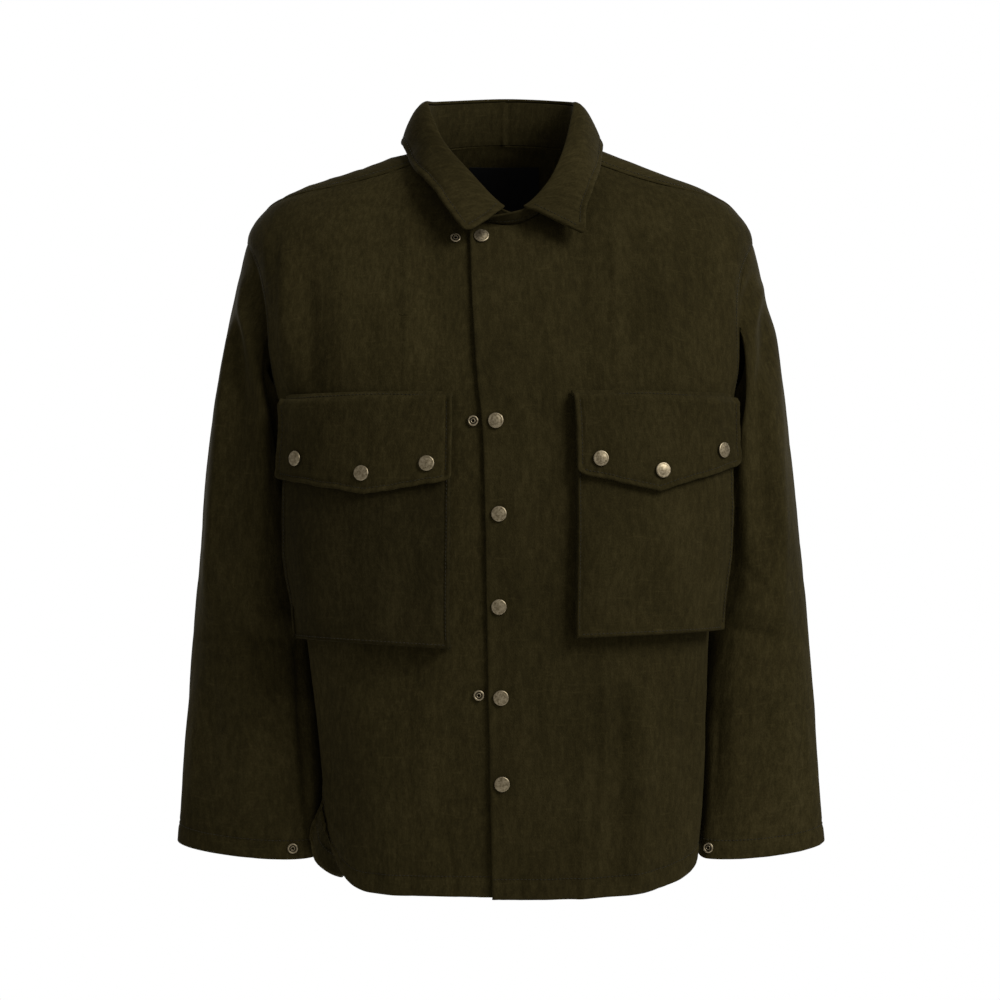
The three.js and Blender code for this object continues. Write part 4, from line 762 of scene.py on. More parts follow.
def new_mesh(name, verts, faces, uvs, materials, sharp=None):
    mesh = bpy.data.meshes.new(name)
    mesh.vertices.add(len(verts))
    mesh.vertices.foreach_set("co", np.ascontiguousarray(verts, np.float32).ravel())
    size = faces.shape[1]
    mesh.loops.add(faces.size)
    mesh.loops.foreach_set("vertex_index", np.ascontiguousarray(faces, np.int32).ravel())
    mesh.polygons.add(len(faces))
    mesh.polygons.foreach_set("loop_start", np.arange(len(faces), dtype=np.int32) * size)
    mesh.polygons.foreach_set("loop_total", np.full(len(faces), size, np.int32))
    mesh.polygons.foreach_set("use_smooth", np.ones(len(faces), bool))
    if uvs is not None:
        layer = mesh.uv_layers.new(name="cloth")
        layer.data.foreach_set("uv", np.ascontiguousarray(uvs, np.float32).ravel())
    mesh.update(calc_edges=True)
    mesh.validate()
    obj = bpy.data.objects.new(name, mesh)
    bpy.context.scene.collection.objects.link(obj)
    for material in materials:
        mesh.materials.append(material)
    return obj


# ---------------------------------------------------------------- materials
def nodes_of(name):
    material = bpy.data.materials.new(name)
    material.use_nodes = True
    tree = material.node_tree
    tree.nodes.clear()
    out = tree.nodes.new("ShaderNodeOutputMaterial")
    shader = tree.nodes.new("ShaderNodeBsdfPrincipled")
    tree.links.new(shader.outputs[0], out.inputs[0])
    return material, tree, shader


def noise(tree, source, scale, detail=2.0, rough=0.5, stretch=(1, 1, 1)):
    mapping = tree.nodes.new("ShaderNodeMapping")
    mapping.inputs["Scale"].default_value = [scale * k for k in stretch]
    tree.links.new(source, mapping.inputs["Vector"])
    node = tree.nodes.new("ShaderNodeTexNoise")
    node.inputs["Scale"].default_value = 1.0
    node.inputs["Detail"].default_value = detail
    node.inputs["Roughness"].default_value = rough
    tree.links.new(mapping.outputs[0], node.inputs["Vector"])
    return node.outputs["Fac"]


def ramp(tree, source, stops):
    node = tree.nodes.new("ShaderNodeValToRGB")
    elements = node.color_ramp.elements
    while len(elements) > len(stops):
        elements.remove(elements[-1])
    while len(elements) < len(stops):
        elements.new(0.5)
    for element, (at, colour) in zip(elements, stops):
        element.position = at
        element.color = (*colour, 1.0) if len(colour) == 3 else colour
    tree.links.new(source, node.inputs["Fac"])
    return node.outputs["Color"]


def math_node(tree, kind, a, b=None, clamp=False):
    node = tree.nodes.new("ShaderNodeMath")
    node.operation = kind
    node.use_clamp = clamp
    for i, v in enumerate((a, b)):
        if v is None:
            continue
        if isinstance(v, (int, float)):
            node.inputs[i].default_value = v
        else:
            tree.links.new(v, node.inputs[i])
    return node.outputs[0]


def blend_colour(tree, fac, a, b, kind="MIX"):
    node = tree.nodes.new("ShaderNodeMix")
    node.data_type = "RGBA"
    node.blend_type = kind
    for socket, v in ((node.inputs[0], fac), (node.inputs[6], a), (node.inputs[7], b)):
        if isinstance(v, (int, float)):
            socket.default_value = v
        elif isinstance(v, tuple):
            socket.default_value = (*v, 1.0)
        else:
            tree.links.new(v, socket)
    return node.outputs[2]


def wool(name, dark, middle, light, seed=0.0, shade=1.0):
    """Brushed wool: heathered yarns, a soft nap that lies down the cloth, and slubs."""
    # shade scales all three colours down: painted shade for the piece
    dark, middle, light = (tuple(shade * v for v in c) for c in (dark, middle, light))
    material, tree, shader = nodes_of(name)
    uv = tree.nodes.new("ShaderNodeUVMap")
    uv.uv_map = "cloth"
    shift = tree.nodes.new("ShaderNodeMapping")
    shift.inputs["Location"].default_value = (seed, seed * 0.37, seed * 0.11)
    tree.links.new(uv.outputs[0], shift.inputs["Vector"])
    at = shift.outputs[0]
    broad = noise(tree, at, 14, 3, 0.55, (1, 0.6, 1))
    nap = noise(tree, at, 260, 3, 0.6, (1.0, 0.35, 1))
    yarn = noise(tree, at, 900, 2, 0.6, (1.0, 0.55, 1))
    slub = noise(tree, at, 150, 2, 0.7, (0.28, 1.9, 1))
    warp = noise(tree, at, 150, 2, 0.7, (2.2, 0.22, 1))
    total = math_node(tree, "ADD", math_node(tree, "MULTIPLY", broad, 0.26), math_node(tree, "MULTIPLY", nap, 0.42))
    total = math_node(tree, "ADD", total, math_node(tree, "MULTIPLY", yarn, 0.32))
    colour = ramp(tree, total, [(0.34, dark), (0.5, middle), (0.66, light)])
    flecks = ramp(tree, slub, [(0.60, (0, 0, 0)), (0.78, (1, 1, 1))])
    colour = blend_colour(tree, math_node(tree, "MULTIPLY", flecks, 0.22), colour, tuple(min(1.0, 1.7 * v) for v in light))
    streaks = ramp(tree, warp, [(0.28, (1, 1, 1)), (0.42, (0, 0, 0))])
    colour = blend_colour(tree, math_node(tree, "MULTIPLY", streaks, 0.18), colour, dark)
    tree.links.new(colour, shader.inputs["Base Color"])
    rough = math_node(tree, "ADD", math_node(tree, "MULTIPLY", nap, 0.16), 0.82)
    tree.links.new(rough, shader.inputs["Roughness"])
    shader.inputs["Specular IOR Level"].default_value = 0.035
    shader.inputs["Sheen Weight"].default_value = 0.045
    shader.inputs["Sheen Roughness"].default_value = 0.5
    shader.inputs["Sheen Tint"].default_value = (0.34, 0.29, 0.15, 1.0)
    # the nap and, under it, a fine twill
    twill = tree.nodes.new("ShaderNodeTexWave")
    twill.wave_type, twill.bands_direction = "BANDS", "DIAGONAL"
    twill.inputs["Scale"].default_value = 230.0
    twill.inputs["Distortion"].default_value = 2.2
    twill.inputs["Detail"].default_value = 2.0
    twill.inputs["Detail Scale"].default_value = 2.0
    tree.links.new(at, twill.inputs["Vector"])
    relief = math_node(tree, "ADD", math_node(tree, "MULTIPLY", nap, 0.75), math_node(tree, "MULTIPLY", yarn, 0.45))
    relief = math_node(tree, "ADD", relief, math_node(tree, "MULTIPLY", twill.outputs["Fac"], 0.06))
    relief = math_node(tree, "ADD", relief, math_node(tree, "MULTIPLY", slub, 0.25))
    bump = tree.nodes.new("ShaderNodeBump")
    bump.inputs["Strength"].default_value = 0.55
    bump.inputs["Distance"].default_value = 0.0009
    tree.links.new(relief, bump.inputs["Height"])
    tree.links.new(bump.outputs[0], shader.inputs["Normal"])
    return material


def thread(name, colour):
    material, tree, shader = nodes_of(name)
    coord = tree.nodes.new("ShaderNodeTexCoord")
    twist = noise(tree, coord.outputs["Object"], 1800, 2, 0.6)
    tree.links.new(ramp(tree, twist, [(0.3, tuple(0.7 * v for v in colour)), (0.7, tuple(1.25 * v for v in colour))]),
                   shader.inputs["Base Color"])
    shader.inputs["Roughness"].default_value = 0.7
    shader.inputs["Specular IOR Level"].default_value = 0.3
    bump = tree.nodes.new("ShaderNodeBump")
    bump.inputs["Strength"].default_value = 0.4
    bump.inputs["Distance"].default_value = 0.0002
    tree.links.new(twist, bump.inputs["Height"])
    tree.links.new(bump.outputs[0], shader.inputs["Normal"])
    return material


def brass(name, dark, light):
    """Antique brass: brushed, a little worn on its high places, darker where it is not touched."""
    material, tree, shader = nodes_of(name)
    coord = tree.nodes.new("ShaderNodeTexCoord")
    patina = noise(tree, coord.outputs["Object"], 420, 4, 0.6)
    fine = noise(tree, coord.outputs["Object"], 2600, 3, 0.6)
    geometry = tree.nodes.new("ShaderNodeNewGeometry")
    worn = ramp(tree, geometry.outputs["Pointiness"], [(0.5, (0, 0, 0)), (0.56, (1, 1, 1))])
    colour = ramp(tree, patina, [(0.36, dark), (0.6, light)])
    colour = blend_colour(tree, math_node(tree, "MULTIPLY", worn, 0.35), colour, tuple(min(1.0, 1.35 * v) for v in light))
    tree.links.new(colour, shader.inputs["Base Color"])
    shader.inputs["Metallic"].default_value = 1.0
    tree.links.new(math_node(tree, "ADD", math_node(tree, "MULTIPLY", patina, 0.18), 0.36), shader.inputs["Roughness"])
    bump = tree.nodes.new("ShaderNodeBump")
    bump.inputs["Strength"].default_value = 0.25
    bump.inputs["Distance"].default_value = 0.0001
    tree.links.new(fine, bump.inputs["Height"])
    tree.links.new(bump.outputs[0], shader.inputs["Normal"])
    return material


def satin(name):
    """The plain black woven label."""
    material, tree, shader = nodes_of(name)
    uv = tree.nodes.new("ShaderNodeUVMap")
    uv.uv_map = "cloth"
    weave = noise(tree, uv.outputs[0], 1500, 2, 0.5, (0.25, 2.0, 1))
    broad = noise(tree, uv.outputs[0], 60, 2, 0.5)
    both = math_node(tree, "ADD", math_node(tree, "MULTIPLY", weave, 0.6), math_node(tree, "MULTIPLY", broad, 0.4))
    tree.links.new(ramp(tree, both, [(0.3, (0.0022, 0.0022, 0.0022)), (0.7, (0.0050, 0.0050, 0.0048))]), shader.inputs["Base Color"])
    tree.links.new(math_node(tree, "ADD", math_node(tree, "MULTIPLY", weave, 0.2), 0.58), shader.inputs["Roughness"])
    shader.inputs["Specular IOR Level"].default_value = 0.12
    bump = tree.nodes.new("ShaderNodeBump")
    bump.inputs["Strength"].default_value = 0.35
    bump.inputs["Distance"].default_value = 0.0002
    tree.links.new(weave, bump.inputs["Height"])
    tree.links.new(bump.outputs[0], shader.inputs["Normal"])
    return material


WOOL_DARK, WOOL_MIDDLE, WOOL_LIGHT = (0.0150, 0.0116, 0.0036), (0.0262, 0.0204, 0.0066), (0.0420, 0.0330, 0.0120)
# Painted shade: each piece's wool colour is darkened by a factor of its own that stands in for the light that piece
# gets; the collar stand inside the neck and the right pocket, whose face turns from the key light, are darkest.
PAINTED_SHADE = {"front_left": 0.84, "front_right": 0.93, "back": 0.92, "sleeve_left": 0.93, "sleeve_right": 0.93, "collar_stand": 0.68,
         "collar_leaf": 0.84, "pocket_left": 0.83, "pocket_right": 0.62, "flap_left": 0.80, "flap_right": 0.90}
WOOL = {node: wool(f"wool_{node}", WOOL_DARK, WOOL_MIDDLE, WOOL_LIGHT, 0.43 * i + 0.05, shade)
        for i, (node, shade) in enumerate(PAINTED_SHADE.items())}
THREAD = thread("thread_olive", (0.017, 0.0135, 0.0050))
BRASS = brass("brass_antique", (0.15, 0.118, 0.068), (0.335, 0.28, 0.185))
BRASS_DARK = brass("brass_inside", (0.035, 0.028, 0.018), (0.09, 0.075, 0.05))
SATIN = satin("satin_black")

pieces = {}
stitches = []  # (points, normals) of each line of stitching


def finish_piece(obj, slot, node=None, sheet=None, **more):
    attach(obj, "root")
    if node:
        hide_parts(node)
    pieces[obj.name] = obj


def stitch_run(shell, rows, columns, inside=False, start=0.0):
    """Notes a line of stitching along fractional rows and columns of a shell's face."""
    point, normal = shell.at(rows, columns, inside)
    stitches.append((point, normal))


def at_distance(run, distance, axis):
    """For each line of a grid along axis, the fractional index at a distance along it."""
    run = np.moveaxis(run, axis, 1)
    index = np.arange(run.shape[1])
    if np.ndim(distance) == 0:
        distance = np.full(run.shape[0], distance)
    return np.array([np.interp(d, line, index) for line, d in zip(run, distance)])


def seam_relief(distance, along_seam, seed, at, raise_edge=0.5, groove=0.55, wide=1.6, pucker=0.28):
    """The shape of an edge that is turned and stitched at a distance: a soft roll, then a groove."""
    roll = raise_edge * smooth((at - distance) / (at * 0.35)) * smooth((distance + 0.5) / 2.5)
    line = -groove * np.exp(-(((distance - at) / wide) ** 2))
    waves = ripple(along_seam, distance * 0.35, 7.0, 9.0, seed, 2)
    near = np.exp(-(((distance - at) / (at * 0.8 + 4)) ** 2))
    return roll + line + pucker * waves * near


# ---------------------------------------------------------------- body panels
HEM_STITCH = 20.0
ROWS_LOW = np.concatenate([[0.0, 0.0004, 0.0011, 0.0022, 0.0042], np.linspace(0.0075, 1.0, 142)[:-1]])
ROWS_HOLE = mix(HOLE_LOW, HOLE_HIGH, (1 - np.cos(np.linspace(0, 1, 84) * math.pi)) / 2)
ROWS_TOP = np.concatenate([np.linspace(1.5, 1.995, 56)[1:], [1.9965, 1.998, 1.999, 2.0]])
LEVELS = np.concatenate([ROWS_LOW, ROWS_HOLE, ROWS_TOP])
SNAP_POINTS = []  # points on the top front and the flaps that a snap presses in


def press_in(p, points, depth=0.8, reach=11.0):
    fade = np.ones(p.shape[:2])
    dimple = np.zeros(p.shape[:2])
    for q in points:
        d = np.linalg.norm(p - q, axis=-1)
        fade *= 1 - np.exp(-((d / 13.0) ** 2))
        dimple -= depth * np.exp(-((d / reach) ** 4))
    return fade, dimple


front_snap_place = []
for x, z in FRONT_SNAPS:
    turn, level = on_front(x, z)
    n = body_normal(turn, level)
    front_snap_place.append((body_point(turn, level) + n * (LAP + 0.6), n))
front_stud_place = []
for x, z in FRONT_STUDS:
    turn, level = on_front(x, z)
    n = body_normal(turn, level)
    front_stud_place.append((body_point(turn, level) + n * 0.6, n))


def front_panel(side):
    top = side > 0
    name = "front_left" if top else "front_right"
    seed = 100 if top else 200
    lv = LEVELS
    edge_x = FRONT_EDGE("x", lv) if top else np.full(lv.shape, UNDERLAP_X)
    start, stop = turn_at_x(edge_x, lv), side * side_edge(lv, side, False)
    parts = steps_from(292.0, 3.1)
    turns, width = spread(lv, start, stop, parts)
    end = body_shape(stop, lv)[:, None]
    cut = hem_level(np.linalg.norm(body_shape(turns, lv[:, None]) - end, axis=-1), HEM_FRONT[side])
    if not top:
        cut = cut + UNDER_SHORTER / 450
    here = on_hem(lv[:, None], cut)
    off = lap_out(body_shape(turns, here)[..., 0]) if top else np.zeros(here.shape)
    base = body_out(turns, here, off)
    n = body_normal(turns, here)
    from_edge, from_hem = along(base, 1), along(base, 0)
    to_side, to_neck = from_edge[:, -1:] - from_edge, from_hem[-1:] - from_hem
    x, y = seen(base)
    # folds fade where the sleeve lies against the side, and under a pocket and its flap
    side_free = smooth((82 - np.abs(turns)) / 10) + (here > 1.5) * smooth((np.abs(turns) - 72) / 6) * 0
    height = fold_lines(x, y, FRONT_LINES) * np.maximum(side_free, smooth((here - 1.5) / 0.05))
    height += ripple(from_edge, from_hem, 34, 120, seed, 3) * 1.5 * smooth(to_side / 30)
    height += ripple(from_edge, from_hem, 16, 26, seed + 5, 2) * 0.35
    under = smooth((here - 0.42) / 0.04) * smooth((1.12 - here) / 0.04) * smooth((np.abs(turns) - 18) / 4)
    height *= 1 - 0.85 * under
    fade, dimple = press_in(base, [p - m * 0.6 for p, m in front_snap_place] if top else [p for p, _ in front_stud_place], 0.7)
    height = height * (0.35 + 0.65 * fade) + dimple
    # turned and stitched edges
    hem_at = HEM_STITCH
    height += seam_relief(from_hem, from_edge, seed + 11, hem_at, 0.55, 0.75, 1.9, 0.55) * smooth((60 - from_hem) / 20)
    height += seam_relief(from_edge, from_hem, seed + 12, 7.0, 1.0, 0.3, 1.8, 0.25) * smooth((24 - from_edge) / 10)
    in_vent = smooth((VENT_TOP + 0.02 - here) / 0.04)
    shoulder = smooth((here - 1.52) / 0.03)
    hole = smooth((here - 1.0) / 0.02) * smooth((1.515 - here) / 0.02)
    height += seam_relief(to_side, from_hem, seed + 13, 7.0, 1.3, 0.6, 1.6, 0.5) * in_vent * smooth((26 - to_side) / 10)
    height += seam_relief(to_side, from_hem, seed + 14, 5.0, -0.2, 0.35, 1.5, 0.25) * shoulder * smooth((20 - to_side) / 10)
    height += (0.5 * np.exp(-((to_side / 3.0) ** 2)) - 0.35 * np.exp(-(((to_side - 7) / 1.8) ** 2))) * hole
    height += -0.35 * np.exp(-((to_neck / 3.5) ** 2))
    height += fold_lines(x, y, ARMHOLE_LINES) * smooth((1.62 - here) / 0.1) * smooth((to_side + 1) / 5)
    if not top:
        height = np.minimum(height, mix(height, 0.2, smooth((x - 455) / 12)))  # under the top front
    outer = base + n * height[..., None]
    normals = grid_normals(outer)
    if np.mean(np.sum(normals * n, -1)) < 0:
        normals = -normals
    thick = CLOTH + (1.1 if top else 0.4) * smooth((9 - from_edge) / 5)
    thick = thick + 1.4 * smooth((HEM_STITCH + 1.5 - from_hem) / 2.5) * smooth(from_hem / 3 + 0.2)
    nearest = np.minimum(np.minimum(from_edge, to_side), np.minimum(from_hem, to_neck))
    keep = pinch(nearest, thick * 0.9)
    loss = thick * (1 - keep) / 2
    shell = Shell(name, outer - normals * loss[..., None], outer - normals * (thick - loss)[..., None], normals=normals,
                  cut=cut_of(base))
    # stitching: the hem, the vent and the shoulder
    cols = np.arange(base.shape[1])
    rows_at = at_distance(from_hem, hem_at, 0)
    stitch_run(shell, rows_at[2:-2], cols[2:-2])
    stitch_run(shell, rows_at[2:-2], cols[2:-2], inside=True)
    vent_rows = np.arange(int(np.searchsorted(lv, 0.012)), int(np.searchsorted(lv, VENT_TOP)))
    stitch_run(shell, vent_rows, at_distance(from_edge[vent_rows], from_edge[vent_rows, -1] - 8.0, 1))
    hole_rows = np.arange(int(np.searchsorted(lv, 1.004)), int(np.searchsorted(lv, 1.4965)))
    stitch_run(shell, hole_rows, at_distance(from_edge[hole_rows], from_edge[hole_rows, -1] - 7.0, 1))
    return shell


def back_panel():
    lv = LEVELS
    start, stop = side_edge(lv, 1, True), 360 - side_edge(lv, -1, True)
    parts = steps_from(565.0, 3.9)
    turns, width = spread(lv, start, stop, parts)
    flat = body_shape(turns, lv[:, None])
    from_left, from_right = np.linalg.norm(flat - flat[:, :1], axis=-1), np.linalg.norm(flat - flat[:, -1:], axis=-1)
    from_edge0, is_left = np.minimum(from_left, from_right), from_left < from_right
    here = on_hem(lv[:, None], np.where(is_left, hem_level(from_edge0, HEM_BACK[1]), hem_level(from_edge0, HEM_BACK[-1])))
    kick = np.where(is_left, VENT_FLARE[1], VENT_FLARE[-1]) * smooth((VENT_TOP - lv[:, None]) / VENT_TOP) * smooth(1 - from_edge0 / 60)
    base = body_out(turns, here, kick)
    n = body_normal(turns, here)
    run, from_hem = along(base, 1), along(base, 0)
    from_edge = np.minimum(run, run[:, -1:] - run)
    to_neck = from_hem[-1:] - from_hem
    x, y = through(base)
    side_free = smooth((from_edge - 14) / 26)
    height = fold_lines(x, y, BACK_LINES) * np.maximum(side_free, 0)
    height += ripple(run, from_hem, 40, 130, 300, 3) * 1.7 * smooth(from_edge / 30)
    height += ripple(run, from_hem, 16, 26, 305, 2) * 0.35
    height += seam_relief(from_hem, run, 311, HEM_STITCH, 0.55, 0.75, 1.9, 0.55) * smooth((60 - from_hem) / 20)
    in_vent = smooth((VENT_TOP + 0.02 - here) / 0.04)
    shoulder = smooth((here - 1.52) / 0.03)
    hole = smooth((here - 1.0) / 0.02) * smooth((1.515 - here) / 0.02)
    height += seam_relief(from_edge, from_hem, 313, 8.0, 0.5, 0.45, 1.6, 0.3) * in_vent * smooth((26 - from_edge) / 10)
    height += seam_relief(from_edge, from_hem, 314, 6.0, 0.45, 0.45, 1.5, 0.25) * shoulder * smooth((20 - from_edge) / 10)
    height += (0.5 * np.exp(-((from_edge / 3.0) ** 2)) - 0.35 * np.exp(-(((from_edge - 7) / 1.8) ** 2))) * hole
    # the back is flat behind the label
    behind = smooth((50 - np.abs(base[..., 0] - 5)) / 10) * smooth((base[..., 2] + 90) / 12) * smooth((-2 - base[..., 2]) / 8)
    height *= 1 - behind
    height += -0.35 * np.exp(-((to_neck / 3.5) ** 2))
    outer = base + n * height[..., None]
    normals = grid_normals(outer)
    if np.mean(np.sum(normals * n, -1)) < 0:
        normals = -normals
    thick = CLOTH + 1.4 * smooth((HEM_STITCH + 1.5 - from_hem) / 2.5) * smooth(from_hem / 3 + 0.2)
    nearest = np.minimum(from_edge, np.minimum(from_hem, to_neck))
    loss = thick * (1 - pinch(nearest, thick * 0.9)) / 2
    shell = Shell("back", outer - normals * loss[..., None], outer - normals * (thick - loss)[..., None], normals=normals,
                  cut=cut_of(base, base.shape[1] // 2))
    cols = np.arange(base.shape[1])
    rows_at = at_distance(from_hem, HEM_STITCH, 0)
    stitch_run(shell, rows_at[2:-2], cols[2:-2])
    stitch_run(shell, rows_at[2:-2], cols[2:-2], inside=True)
    vent_rows = np.arange(int(np.searchsorted(lv, 0.012)), int(np.searchsorted(lv, VENT_TOP)))
    stitch_run(shell, vent_rows, at_distance(run[vent_rows], 8.0, 1))
    stitch_run(shell, vent_rows, at_distance(run[vent_rows], run[vent_rows, -1] - 8.0, 1))
    up = np.arange(int(np.searchsorted(lv, 1.52)), int(np.searchsorted(lv, 1.992)))
    stitch_run(shell, up, at_distance(run[up], 6.0, 1))
    stitch_run(shell, up, at_distance(run[up], run[up, -1] - 6.0, 1))
    hole_rows = np.arange(int(np.searchsorted(lv, 1.004)), int(np.searchsorted(lv, 1.4965)))
    stitch_run(shell, hole_rows, at_distance(run[hole_rows], 7.0, 1))
    stitch_run(shell, hole_rows, at_distance(run[hole_rows], run[hole_rows, -1] - 7.0, 1))
    return shell, run, from_hem


shell_front_left = front_panel(1)
shell_front_right = front_panel(-1)
shell_back, back_run, back_hem = back_panel()
for shell, node in ((shell_front_left, "front_left"), (shell_front_right, "front_right"), (shell_back, "back")):
    obj = shell.mesh([WOOL[node]])
    obj.name = f"cloth_{node}"
    finish_piece(obj, "wool", node, node)
    print("area", node, round(shell.area() / 1e6, 4))

# ---------------------------------------------------------------- sleeves
CUFF_STITCH = 19.0


def sleeve(side):
    name = "sleeve_left" if side > 0 else "sleeve_right"
    seed = 400 if side > 0 else 500
    edge = np.array([0.0, 0.0004, 0.0012, 0.0026, 0.0046])
    s = np.concatenate([edge[:-1], np.linspace(edge[-1], 1 - edge[-1], 176), 1 - edge[:-1][::-1]])
    count = 152
    angle = np.arange(count) * 360.0 / count
    base, free = sleeve_point(side, angle[None, :], s[:, None])
    n = grid_normals(base, True)
    middle = base.mean(1, keepdims=True)
    if np.mean(np.sum(n * (base - middle), -1)) < 0:
        n = -n
    down = along(base, 0)
    girth = along(np.concatenate([base, base[:, :1]], 1), 1)
    run = girth[:, :-1]
    up_from_hem = down[-1:] - down
    x, y = seen(base)
    facing = smooth((-n[..., 1] + 0.25) / 0.5)
    height = fold_lines(x, y, SLEEVE_LINES[side]) * facing
    xb, yb = through(base)
    mirrored = 1000 - xb if side > 0 else xb
    height += fold_lines(mirrored, yb, SLEEVE_BACK_LINES) * smooth((n[..., 1] + 0.25) / 0.5)
    # unevenness that closes round the tube
    around = np.cos(angle * DEG)[None, :] * 60, np.sin(angle * DEG)[None, :] * 60
    height += ripple(around[0] + 0.0 * down, down * 0.5 + around[1], 30, 44, seed, 2) * 1.5
    height += ripple(around[0] * 2 + down * 0.2, down + around[1] * 2, 18, 24, seed + 3, 2) * 0.45
    height *= mix(0.12, 1.0, free)
    height *= smooth(down / 26) * 0.97 + 0.03
    height += (seam_relief(up_from_hem, run, seed + 7, CUFF_STITCH, 0.55, 0.8, 1.9, 0.5) * smooth((55 - up_from_hem) / 20)
               * mix(0.4, 1.0, free))
    height += -0.5 * np.exp(-((down / 3.0) ** 2))
    height += fold_lines(x, y, CREVICE_LINES[side]) * facing
    # the seam under the arm
    under = np.abs(((angle - 186 + 180) % 360) - 180)[None, :] * DEG * 60
    height += -0.45 * np.exp(-((under / 1.6) ** 2)) * free
    point = sleeve_point(side, np.array([CUFF_STUD[side][0]]), np.array([CUFF_STUD[side][1]]))[0][0]
    fade, dimple = press_in(base, [point], 0.4, 8.0)
    height = height * (0.3 + 0.7 * fade) + dimple
    outer = base + n * height[..., None]
    normals = grid_normals(outer, True)
    if np.mean(np.sum(normals * n, -1)) < 0:
        normals = -normals
    thick = CLOTH + 1.4 * smooth((CUFF_STITCH + 1.5 - up_from_hem) / 2.5) * smooth(up_from_hem / 3 + 0.2)
    nearest = np.minimum(down, up_from_hem)
    loss = thick * (1 - pinch(nearest, thick * 0.9)) / 2
    # the sleeve's cloth narrows from its head to its hem
    around_cut = np.arange(count + 1)[None, :] / count * mix(1.0, 0.72, down[:, :1] / down[-1:, :1]) * 440.0
    up_cut = np.concatenate([up_from_hem, up_from_hem[:, :1]], 1)
    shell = Shell(name, outer - normals * loss[..., None], outer - normals * (thick - loss)[..., None], True, normals,
                  (around_cut, up_cut))
    cols = np.arange(count + 1)
    rows_at = at_distance(down, down[-1] - CUFF_STITCH, 0)
    rows_at = np.concatenate([rows_at, rows_at[:1]])
    stitch_run(shell, rows_at, cols)
    return shell


for side, node in ((1, "sleeve_left"), (-1, "sleeve_right")):
    shell = sleeve(side)
    obj = shell.mesh([WOOL[node]])
    obj.name = f"cloth_{node}"
    finish_piece(obj, "wool", node, node)
    print("area", node, round(shell.area() / 1e6, 4))

# ---------------------------------------------------------------- the collar
def collar_stand():
    ups = mix(-0.032, 1.0, steps_from(44.0, 2.2))
    turns = mix(-24.0, 376.0, steps_from(470.0, 2.1))
    base = stand_point(turns[None, :], ups[:, None])
    n = normal_of(stand_point, turns[None, :], ups[:, None], 1, 0.02)
    run, rise = along(base, 1), along(base, 0)
    from_end = np.minimum(run, run[:, -1:] - run)
    to_top = rise[-1:] - rise
    height = ripple(run, rise, 26, 30, 600, 2) * 0.35
    height += seam_relief(from_end, rise, 601, 4.5, 0.35, 0.35, 1.3, 0.1) * smooth((16 - from_end) / 6)
    height += seam_relief(rise, run, 602, 4.0, 0.3, 0.35, 1.3, 0.15) * smooth((14 - rise) / 6)
    outer = base + n * height[..., None]
    # the seam in the middle of the back of the collar, on its inner face
    middle = along(base, 1)
    at_back = np.interp(181.0, turns, np.arange(len(turns)))
    centre = middle[:, int(at_back)][:, None]
    seam = np.exp(-(((middle - centre + 2.2) / 2.0) ** 2)) * 1.1 - 1.5 * np.exp(-(((middle - centre - 3.2) / 1.5) ** 2))
    inner_wave = ripple(run, rise, 18, 22, 610, 2) * 0.5 + 1.0 * np.exp(-((((run - centre) % 62) - 31) / 9) ** 2) * 0
    thick = np.full(base.shape[:2], BAND)
    nearest = np.minimum(from_end, np.minimum(rise, to_top))
    loss = thick * (1 - pinch(nearest, thick)) / 2
    inner = outer - n * (thick - loss - seam + inner_wave * 0.6)[..., None]
    shell = Shell("collar_stand", outer - n * loss[..., None], inner, normals=n)
    columns = np.arange(3, len(turns) - 3)
    stitch_run(shell, at_distance(rise, 4.0, 0)[columns], columns)
    rows = np.arange(2, len(ups) - 2)
    stitch_run(shell, rows, at_distance(run[rows], 4.5, 1))
    return shell


LEAF_STITCH = 7.4


